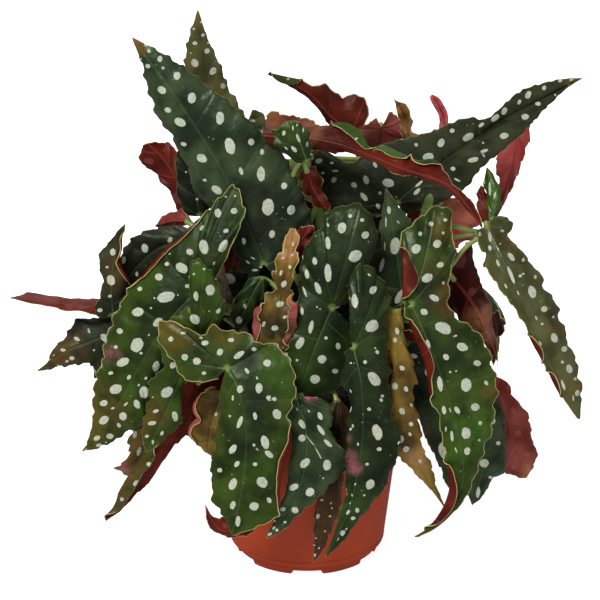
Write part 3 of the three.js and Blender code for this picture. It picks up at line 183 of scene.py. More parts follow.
# Leaves whose outlines are seen. rib runs from the stalk to the tip. one and two are the
# margins on its two sides, from the cleft at the stalk round to the tip. turn is the margin
# point beside the stalk, where the lobe ends. fall leans each side back (less than 0) or
# forward. shows says which side of the blade faces the front, and face whose colours it has
# where they differ. look and back are the colours in front and behind. held says that the
# stalk comes from behind, stalk gives points on its way, and slant leans its end along the
# rib. A lip is its half, where it starts and ends as shares of the margin, and its width.
LEAVES = {
    "leaf_top_left": traced("dark", "cane_back", 0.62, turn=[2, 3], fall=[-0.6, -0.2], look="cool",
        rib=[[264, 264, 34], [233, 190, 30], [179, 101, 18], [132, 37, 4]],
        one=[[262, 273], [250, 277], [238, 256], [218, 222], [204, 200], [184, 163], [168, 133],
            [151, 95], [141, 64]],
        two=[[272, 274], [292, 268], [309, 246], [312, 220], [300, 190], [284, 155], [262, 132],
            [238, 110], [203, 82], [178, 63], [157, 50]]),
    "leaf_top_upright": traced("olive", "cane_back", 0.9, fall=[-0.2, -0.4],
        rib=[[226, 142, -12], [213, 100, -17], [198, 9, -24]],
        one=[[218, 146], [200, 128], [188, 100], [184, 72], [187, 48], [191, 30]],
        two=[[236, 148], [248, 138], [245, 118], [237, 103], [226, 80], [213, 50], [203, 25]]),
    "leaf_top_small": traced("olive", "cane_back", 0.97, turn=[1, 2], fall=[-0.2, -0.2],
        rib=[[248, 121, 0], [238, 137, -2], [225, 162, -6]],
        one=[[244, 112], [236, 113], [226, 126], [219, 145]],
        two=[[250, 109], [258, 111], [266, 121], [260, 127], [250, 132], [240, 147]]),
    "leaf_arching": traced("red", "cane_back", 0.98, fall=[-0.9, -0.6], shows="under",
        held="behind", slant=2.5, wave=2, phase=1.5, crumple=1.4,
        lips=[[0, 0.26, 0.46, 9], [0, 0.44, 0.62, 9], [0, 0.6, 0.74, 6]],
        rib=[[262, 136, 24], [330, 142, 36], [400, 168, 44], [450, 187, 46], [482, 228, 42]],
        one=[[263, 124], [272, 115], [300, 118], [327, 127], [346, 128], [358, 135], [370, 149],
            [384, 146], [402, 156], [416, 165], [432, 164], [452, 182], [471, 202]],
        two=[[266, 141], [280, 149], [310, 148], [345, 154], [375, 162], [400, 172], [425, 180],
            [450, 192], [470, 212]]),
    "leaf_red_wing": traced("red", "cane_back", 1, turn=[2, 1], fall=[-0.3, -1.2], shows="under",
        wave=0.5, phase=4.5, crumple=0.7, lips=[[0, 0.72, 1, 6]],
        rib=[[352, 134, -18], [330, 116, -20], [308, 93, -20], [267, 74, -12]],
        one=[[362, 128], [367, 112], [364, 102], [356, 96], [344, 99], [334, 94], [324, 86],
            [312, 88], [302, 82], [285, 78]],
        two=[[344, 136], [334, 134], [327, 122], [318, 108], [306, 97], [290, 86], [278, 79]]),
    "leaf_red_behind": traced("red", "cane_back", 0.9, turn=[2, 3], fall=[-0.2, -0.2], look="pink",
        shows="under", held="behind", slant=0, stalk=[[372, 168, -30], [378, 142, -54]],
        rib=[[381, 127, -44], [379, 150, -50], [376, 180, -58]],
        one=[[377, 118], [367, 123], [357, 132], [354, 146], [360, 165]],
        two=[[385, 115], [391, 112], [398, 118], [402, 138], [400, 155], [390, 170]]),
    "leaf_orange_upright": traced("golden", "cane_back", 1, fall=[-0.3, 0.4], look="orange",
        slant=4, stalk=[[385, 160, -26], [404, 164, -50]],
        rib=[[412, 152, -56], [408, 128, -56], [403, 113, -55], [394, 99, -52]],
        one=[[405, 153], [401, 138], [399, 122], [397, 110]],
        two=[[421, 150], [424, 139], [411, 129], [413, 119], [406, 106]]),
    "leaf_red_spike": traced("red", "cane_back", 1, fall=[0.9, 0.9], look="rose", shows="under",
        slant=2.5, wave=0.3, phase=4.5, crumple=0.4, stalk=[[388, 164, -28]],
        rib=[[447, 152, -70], [444, 118, -68], [432, 94, -64]],
        one=[[441, 149], [439, 131], [438, 114], [430, 99]],
        two=[[454, 149], [450, 131], [447, 112], [440, 99]]),
    "leaf_top_right": traced("dark", "cane_back", 0.72, turn=[9, 2], fall=[-0.25, 0.1],
        look="dusky", crumple=0.55, stalk=[[350, 224, -8], [385, 214, -6]],
        rib=[[397, 203, 6], [440, 165, -18], [500, 122, -50], [583, 78, -90]],
        one=[[385, 213], [360, 214], [335, 212], [320, 200], [312, 180], [312, 160], [318, 150],
            [330, 153], [341, 165], [358, 160], [372, 149], [400, 140], [432, 131], [465, 118],
            [485, 119], [503, 104], [520, 91], [540, 84], [562, 79]],
        two=[[403, 214], [418, 210], [440, 202], [466, 188], [480, 170], [500, 151], [518, 138],
            [532, 124], [545, 108], [560, 94]]),
    "leaf_new_centre": traced("green", "cane_back", 0.85, fall=[-0.3, -0.6], look="dark",
        stalk=[[293, 178, 22]],
        rib=[[307, 162, 38], [300, 142, 44], [296, 121, 44]],
        one=[[298, 163], [284, 152], [272, 135], [278, 128], [288, 121]],
        two=[[312, 158], [309, 148], [309, 135], [304, 126]]),
    "leaf_red_strip": traced("red", "cane_back", 0.8, fall=[-0.5, -0.5], shows="under", slant=3,
        stalk=[[297, 180, 8], [299, 164, 16]],
        rib=[[306, 168, 24], [314, 190, 26], [327, 211, 26]],
        one=[[300, 172], [303, 187], [315, 204]],
        two=[[314, 165], [320, 176], [324, 195], [331, 206]]),
    "leaf_right_red": traced("red", "cane_back", 0.95, fall=[-0.4, 0.4], look="wine", shows="under",
        slant=2.5, stalk=[[390, 176, -30], [470, 138, -70], [512, 104, -85]],
        rib=[[520, 118, -84], [513, 165, -74], [497, 217, -58]],
        one=[[511, 122], [502, 140], [497, 165], [498, 192]],
        two=[[530, 120], [529, 140], [520, 168], [511, 190], [503, 206]]),
    "leaf_right_narrow": traced("green", "cane_right", 0.9, fall=[-1.2, -1.2], slant=4, wave=0.7,
        phase=1.5, crumple=0.3, stalk=[[460, 228, 20], [484, 232, 20]],
        rib=[[491, 221, 18], [496, 196, 12], [487, 167, 4]],
        one=[[488, 219], [487, 208], [487, 196], [484, 183]],
        two=[[495, 219], [500, 207], [501, 196], [496, 180]]),
    "leaf_right_sliver": traced("red", "cane_right", 0.8, fall=[-0.8, -0.8], shows="under", slant=4,
        stalk=[[466, 236, -4], [480, 234, 4]],
        rib=[[486, 225, 8], [485, 205, 4], [481, 185, 0]],
        one=[[480, 220], [478, 205], [477, 192]],
        two=[[492, 220], [491, 205], [487, 192]]),
    "leaf_right_droop": traced("olive", "cane_right", 0.55, turn=[1, 3], fall=[-0.2, -0.9],
        wave=0.5, phase=3, stalk=[[442, 275, 26], [466, 247, 26]],
        lips=[[0, 0.52, 0.68, 6], [0, 0.7, 0.86, 6]],
        rib=[[486, 226, 30], [503, 262, 42], [522, 303, 50], [541, 345, 54], [560, 385, 55],
            [580, 419, 52]],
        one=[[478, 228], [480, 243], [487, 256], [486, 265], [500, 285], [513, 304], [524, 320],
            [534, 340], [545, 362], [556, 383], [568, 402]],
        two=[[490, 218], [500, 216], [511, 221], [509, 234], [514, 244], [524, 254], [536, 268],
            [545, 288], [557, 308], [566, 335], [575, 360], [581, 390]]),
    "leaf_right_front": traced("green", "cane_right", 0.95, turn=[1, 10], fall=[-0.2, -0.5],
        bulge=0.06, wave=1.5, phase=0, stalk=[[433, 214, 22], [431, 245, 20], [419, 287, 44]],
        lips=[[0, 0.01, 0.39, 7.5], [0, 0.6, 0.95, 7], [1, 0, 0.1, 10]],
        rib=[[411, 304, 58], [425, 335, 64], [442, 378, 68], [455, 425, 70], [463, 465, 71],
            [458, 494, 70], [439, 520, 68], [415, 537, 66]],
        one=[[406, 307], [413, 324], [425, 362], [434, 398], [441, 413], [444, 440], [448, 460],
            [451, 490], [435, 522]],
        two=[[406, 301], [404, 285], [403, 262], [402, 245], [406, 233], [419, 221], [437, 208],
            [449, 213], [449, 232], [452, 253], [448, 275], [447, 300], [457, 320], [478, 334],
            [489, 362], [493, 385], [490, 425], [479, 462], [465, 496], [439, 523]]),
    "leaf_centre_back": traced("dark", "cane_right", 0.55, turn=[2, 1], look="cool",
        rib=[[403, 303, 36], [396, 250, 34], [386, 188, 26]],
        one=[[398, 312], [380, 318], [366, 300], [363, 275], [374, 254], [382, 245], [381, 222],
            [384, 200]],
        two=[[408, 312], [420, 300], [425, 270], [420, 240], [413, 224], [400, 208], [391, 196]]),
    "leaf_centre_front": traced("dark", "cane_front", 0.9, turn=[11, 1], fall=[-0.15, -0.3],
        rib=[[332, 307, 58], [314, 350, 63], [302, 385, 64], [294, 415, 62]],
        one=[[345, 304], [361, 290], [368, 265], [377, 240], [372, 217], [358, 204], [340, 207],
            [326, 213], [324, 225], [313, 236], [303, 255], [299, 285], [297, 315], [290, 343],
            [280, 357], [277, 380], [283, 400]],
        two=[[341, 313], [349, 325], [350, 345], [345, 370], [332, 392], [312, 408]]),
    "leaf_centre_long": traced("dark", "cane_right", 0.42, turn=[1, 8], fall=[-0.6, -0.5],
        stalk=[[368, 352, 58]],
        rib=[[353, 346, 80], [361, 385, 86], [362, 440, 90], [350, 505, 90], [325, 558, 86]],
        one=[[345, 350], [347, 364], [342, 378], [349, 402], [348, 425], [349, 452], [344, 468],
            [346, 495], [341, 512], [333, 536]],
        two=[[350, 337], [350, 315], [350, 290], [357, 267], [368, 265], [381, 280], [388, 297],
            [386, 318], [388, 345], [391, 375], [391, 412], [398, 432], [394, 462], [382, 494],
            [359, 520], [342, 541]]),
    "leaf_front_small": traced("dark", "cane_front", 0.6, turn=[1, 2], fall=[-0.4, 0.1],
        look="cool", stalk=[[266, 394, 50], [281, 401, 64]],
        rib=[[296, 395, 73], [306, 428, 77], [305, 465, 79], [294, 501, 80], [266, 539, 80]],
        one=[[289, 399], [287, 415], [291, 432], [292, 452], [288, 475], [284, 496], [279, 511],
            [272, 525]],
        two=[[306, 394], [322, 400], [332, 411], [331, 432], [344, 450], [343, 468], [325, 490],
            [302, 512], [283, 530]]),
    "leaf_front_left": traced("green", "cane_front", 0.75, turn=[1, 12], fall=[-0.5, -0.15],
        bulge=0.03, wave=1.5, phase=0, lips=[[1, 0.66, 0.9, 4.5]],
        rib=[[227, 368, 76], [238, 388, 82], [246, 430, 88], [243, 480, 90], [232, 535, 86]],
        one=[[222, 380], [221, 397], [218, 423], [215, 450], [210, 470], [214, 497], [224, 518]],
        two=[[218, 377], [200, 380], [185, 377], [176, 362], [163, 346], [161, 324], [181, 326],
            [204, 338], [212, 327], [227, 333], [245, 335], [260, 346], [274, 346], [290, 366],
            [293, 392], [286, 415], [288, 440], [281, 462], [278, 490], [275, 515], [256, 525],
            [240, 531]]),
    "leaf_left_big": traced("green", "cane_left", 0.85, turn=[9, 2], fall=[-0.45, -0.15],
        lips=[[0, 0.33, 0.6, 4]],
        rib=[[195, 292, 50], [168, 322, 52], [143, 360, 50], [118, 405, 46], [82, 451, 38]],
        one=[[207, 288], [218, 270], [230, 245], [238, 228], [242, 212], [233, 187], [219, 201],
            [203, 219], [185, 237], [165, 253], [148, 272], [133, 286], [120, 307], [110, 335],
            [105, 362], [96, 385], [93, 425], [88, 443]],
        two=[[205, 300], [203, 318], [190, 342], [170, 366], [158, 384], [150, 402], [144, 420],
            [125, 435], [103, 446]]),
    "leaf_left_green": traced("green", "cane_left", 0.6, turn=[9, 1], fall=[-0.1, -0.1], wave=2,
        phase=1.5,
        rib=[[200, 338, 62], [186, 366, 62], [170, 402, 57], [146, 452, 48]],
        one=[[210, 334], [220, 322], [224, 306], [219, 288], [208, 268], [196, 258], [190, 266],
            [190, 290], [188, 307], [174, 317], [162, 330], [161, 348], [164, 366], [150, 380],
            [148, 402], [143, 425], [143, 440]],
        two=[[212, 345], [210, 362], [197, 378], [183, 386], [182, 405], [181, 424], [165, 438],
            [153, 448]]),
    "leaf_left_long": traced("red", "cane_left", 0.45, fall=[0, -0.3], shows="under", wave=2,
        phase=0, lips=[[0, 0.42, 0.99, 9]],
        rib=[[200, 374, 44], [190, 408, 42], [174, 441, 39], [148, 475, 34], [106, 521, 28]],
        one=[[185, 378], [180, 397], [177, 418], [165, 437], [152, 449], [138, 466], [122, 488],
            [116, 505]],
        two=[[212, 378], [207, 398], [196, 421], [180, 441], [160, 465], [144, 487], [128, 504]]),
    "leaf_golden_low": traced("golden", "cane_front", 0.5, back="pink", crumple=2,
        lips=[[0, 0.15, 0.9, 4.5]],
        rib=[[224, 392, 56], [213, 420, 54], [207, 453, 50]],
        one=[[218, 388], [207, 391], [196, 403], [199, 416], [191, 428], [197, 440]],
        two=[[232, 395], [236, 415], [230, 440], [218, 456]]),
    "leaf_red_curl_low": traced("red", "cane_front", 0.5, fall=[-0.2, -0.2], shows="under",
        held="behind", slant=2,
        rib=[[262, 420, 65], [262, 470, 67], [246, 518, 68], [222, 531, 67], [205, 505, 65]],
        one=[[254, 416], [245, 440], [241, 480], [232, 511], [214, 517]],
        two=[[272, 422], [278, 450], [276, 490], [258, 524], [232, 538], [210, 528]]),
    "leaf_brown_low": traced("golden", "cane_left", 0.35, wave=2, phase=3, crumple=1.6,
        rib=[[160, 412, 16], [147, 440, 12], [135, 462, 10], [113, 468, 8]],
        one=[[149, 413], [130, 437], [129, 452], [122, 464]],
        two=[[168, 425], [160, 450], [146, 470], [129, 475]]),
    "leaf_left_olive": traced("olive", "cane_left", 0.55, turn=[1, 2], fall=[-0.8, -0.2],
        look="dusky",
        rib=[[126, 330, 16], [95, 340, 18], [65, 352, 17], [37, 371, 12]],
        one=[[122, 317], [110, 314], [97, 316], [80, 321], [67, 331], [57, 347], [46, 363]],
        two=[[130, 346], [118, 374], [97, 380], [90, 362], [75, 365], [55, 368]]),
    "leaf_left_far": traced("pink", "cane_left", 0.8, fall=[-2.5, 2.0], look="crimson",
        shows="under", wave=0.5, crumple=0.4,
        rib=[[118, 309, 6], [60, 304, 20], [9, 298, 36]],
        one=[[110, 300], [98, 299], [60, 298], [34, 293]],
        two=[[110, 318], [92, 314], [60, 309], [30, 303]]),
    "leaf_left_upright": traced("olive", "cane_left", 0.75, fall=[-0.4, -0.2], look="dusky", wave=2,
        phase=3, lips=[[1, 0.3, 0.95, 4]],
        rib=[[113, 316, 30], [111, 282, 31], [116, 250, 30], [125, 224, 27]],
        one=[[104, 320], [94, 312], [101, 295], [101, 270], [101, 251], [111, 240], [119, 230]],
        two=[[122, 318], [132, 304], [128, 282], [119, 264], [119, 245], [122, 233]]),
    "leaf_left_dark": traced("dark", "cane_left", 0.95, look="dusky",
        rib=[[196, 240, 26], [162, 246, 25], [134, 270, 22], [120, 298, 20]],
        one=[[196, 228], [175, 226], [150, 230], [133, 238], [122, 252], [117, 275]],
        two=[[196, 252], [180, 264], [158, 276], [140, 290], [128, 300]]),
    "leaf_left_pink": traced("pink", "cane_left", 1, fall=[-1.5, -1.5], look="crimson",
        shows="under", wave=1, phase=0,
        rib=[[190, 222, 14], [174, 221, 12], [155, 226, 9]],
        one=[[187, 212], [178, 210], [165, 215]],
        two=[[187, 225], [176, 226], [165, 228]]),
    "leaf_left_red": traced("red", "cane_left", 1, shows="under",
        rib=[[186, 215, -11], [180, 188, -14], [167, 163, -16], [147, 143, -17]],
        one=[[178, 212], [174, 201], [164, 183], [152, 172], [142, 162], [141, 148]],
        two=[[196, 205], [191, 185], [183, 165], [174, 147], [160, 142]]),
    "leaf_left_strip": traced("dark", "cane_left", 1, look="shaded",
        rib=[[200, 216, 6], [193, 182, 5], [180, 148, 3]],
        one=[[190, 217], [178, 198], [177, 176], [176, 155]],
        two=[[212, 208], [206, 190], [195, 166], [185, 151]]),
    "leaf_golden_twisted": traced("golden", "cane_front", 0.7, fall=[-0.4, 0.3], back="pink",
        wave=2.5, crumple=3, lips=[[0, 0.04, 0.42, 7], [1, 0.04, 0.5, 7]],
        rib=[[272, 352, 60], [279, 315, 58], [286, 270, 52], [293, 228, 46]],
        one=[[262, 350], [256, 335], [254, 315], [268, 301], [275, 290], [275, 272], [283, 252],
            [288, 236]],
        two=[[282, 352], [290, 335], [298, 308], [289, 300], [292, 280], [295, 262], [294, 250],
            [297, 238]]),
    "leaf_red_centre": traced("red", "cane_front", 0.95, fall=[-0.4, -0.4], shows="under",
        rib=[[291, 264, 42], [301, 241, 43], [314, 226, 42]],
        one=[[287, 254], [293, 237], [304, 226]],
        two=[[299, 260], [307, 246], [314, 234]]),
    "leaf_dark_small": traced("dark", "cane_front", 0.85, fall=[-0.4, -0.4],
        rib=[[262, 276, 36], [249, 300, 39], [235, 333, 41]],
        one=[[252, 275], [238, 295], [231, 312]],
        two=[[272, 281], [261, 300], [250, 320]]),
    "leaf_golden_hanging": traced("golden", "cane_right", 0.45, crumple=1.5, stalk=[[392, 332, 34]],
        rib=[[395, 309, 61], [396, 340, 66], [402, 380, 69], [406, 430, 70], [425, 475, 65],
            [447, 511, 60]],
        one=[[390, 307], [386, 318], [388, 335], [388, 350], [392, 372], [391, 402], [393, 424],
            [399, 440], [397, 455], [412, 467], [428, 487], [438, 499]],
        two=[[400, 308], [403, 325], [402, 342], [411, 356], [414, 378], [414, 402], [420, 420],
            [421, 445], [432, 466], [437, 488]]),
    "leaf_dark_low": traced("dark", "cane_right", 0.5, look="cool",
        rib=[[405, 345, 42], [418, 385, 46], [441, 425, 46], [450, 460, 44], [455, 491, 40]],
        one=[[397, 352], [402, 390], [418, 415], [427, 443], [440, 463], [445, 484]],
        two=[[415, 340], [435, 370], [455, 410], [464, 450], [462, 478]]),
    "leaf_right_dark": traced("dark", "cane_right", 0.55, fall=[-0.1, -1.0], look="cool",
        rib=[[480, 368, 40], [487, 420, 42], [484, 465, 40], [472, 505, 36]],
        one=[[470, 372], [466, 400], [468, 440], [466, 485]],
        two=[[491, 376], [498, 405], [506, 435], [503, 468], [485, 492]]),
    "leaf_right_low_red": traced("red", "cane_right", 0.5, fall=[-0.9, -0.2], look="crimson",
        shows="under",
        rib=[[490, 374, 14], [503, 410, 18], [514, 445, 18], [526, 478, 12]],
        one=[[505, 378], [512, 394], [525, 411], [531, 430], [535, 450], [533, 468]],
        two=[[482, 382], [484, 415], [494, 448], [503, 470], [514, 476]]),
    "leaf_right_folded": traced("red", "cane_right", 0.8, fall=[-0.9, -0.9], look="maroon",
        shows="under", wave=1, phase=3,
        rib=[[449, 274, 22], [470, 300, 24], [485, 328, 24], [498, 362, 20]],
        one=[[455, 262], [468, 243], [476, 268], [484, 290], [491, 312], [495, 335]],
        two=[[447, 286], [449, 303], [458, 320], [470, 329], [481, 339], [490, 349]]),
    "leaf_centre_low": traced("dark", "cane_front", 0.45, fall=[-0.2, -0.2], look="brown",
        shows="under", face="upper", held="behind", slant=2.5,
        rib=[[338, 398, 60], [335, 450, 68], [330, 490, 68], [322, 530, 65], [314, 563, 61]],
        one=[[330, 402], [323, 430], [320, 470], [316, 500], [314, 535]],
        two=[[346, 404], [349, 430], [345, 465], [341, 500], [328, 540]]),
    "leaf_pink_hanging": traced("pink", "cane_right", 0.75, look="wine", shows="under", wave=0.5,
        phase=0, crumple=2,
        rib=[[441, 198, -14], [440, 222, -11], [442, 252, -8]],
        one=[[430, 200], [417, 208], [407, 216], [415, 228], [426, 244]],
        two=[[452, 197], [465, 200], [479, 223], [470, 238], [456, 247]]),
}

# Leaves inside the plant, in the near-black colours of painted shade
INNER_LEAVES = {
    "leaf_inner_left": traced("dark", "cane_back", 0.75, fall=[-0.2, -0.2], look="shaded",
        rib=[[302, 258, 14], [268, 285, 9], [216, 343, 4]],
        one=[[292, 252], [262, 258], [242, 269], [224, 274], [212, 290], [206, 318]],
        two=[[312, 268], [304, 300], [278, 330], [246, 345]]),
    "leaf_inner_centre": traced("dark", "cane_back", 0.7, fall=[-0.2, -0.2], look="shaded",
        rib=[[388, 202, 1], [368, 262, 6], [340, 352, 8]],
        one=[[378, 202], [356, 232], [335, 275], [327, 315]],
        two=[[396, 214], [400, 262], [390, 305], [366, 340]]),
}

# Leaves on the side turned away: from the stalk through the middle to the tip, and the width
# of each side. They face away from the pot's axis.
BACK_LEAVES = {
    "leaf_back_1": {"spine": [[-62, 34, 182], [-98, 52, 162], [-118, 64, 108]], "sides": [32, 24]},
    "leaf_back_2": {"spine": [[-28, 46, 205], [-40, 76, 190], [-48, 88, 128]], "sides": [36, 26]},
    "leaf_back_3": {"spine": [[4, 46, 224], [6, 80, 212], [4, 91, 146]], "sides": [26, 34]},
    "leaf_back_4": {"spine": [[52, 38, 192], [76, 64, 176], [86, 80, 114]], "sides": [32, 24]},
    "leaf_back_5": {"spine": [[72, 20, 168], [104, 38, 150], [114, 48, 96]], "sides": [24, 30]},
    "leaf_back_6": {"spine": [[-6, 44, 156], [-8, 74, 142], [-8, 86, 82]], "sides": [30, 22]},
    "leaf_back_7": {"spine": [[34, 40, 140], [50, 66, 126], [56, 77, 66]], "sides": [24, 32]},
    "leaf_back_8": {"spine": [[-58, 36, 134], [-84, 52, 118], [-98, 60, 62]], "sides": [30, 22]},
    "leaf_back_9": {"spine": [[-66, 8, 160], [-98, 22, 146], [-112, 30, 92]], "sides": [24, 32]},
    "leaf_back_10": {"spine": [[-24, 32, 236], [-36, 58, 242], [-42, 86, 206]], "sides": [26, 32]},
}

# A back leaf's outline: how far along its length and how far across, as shares, and the
# number of the point where the lobe ends
WIDE_SIDE = [[-0.06, 0.1], [-0.2, 0.32], [-0.24, 0.7], [-0.1, 1], [0.1, 1.05], [0.32, 0.96],
             [0.54, 0.76], [0.74, 0.5], [0.9, 0.2]], 4
SLIM_SIDE = [[-0.04, 0.24], [-0.1, 0.62], [0.02, 0.96], [0.2, 1.02], [0.42, 0.9], [0.64, 0.66],
             [0.84, 0.34]], 2

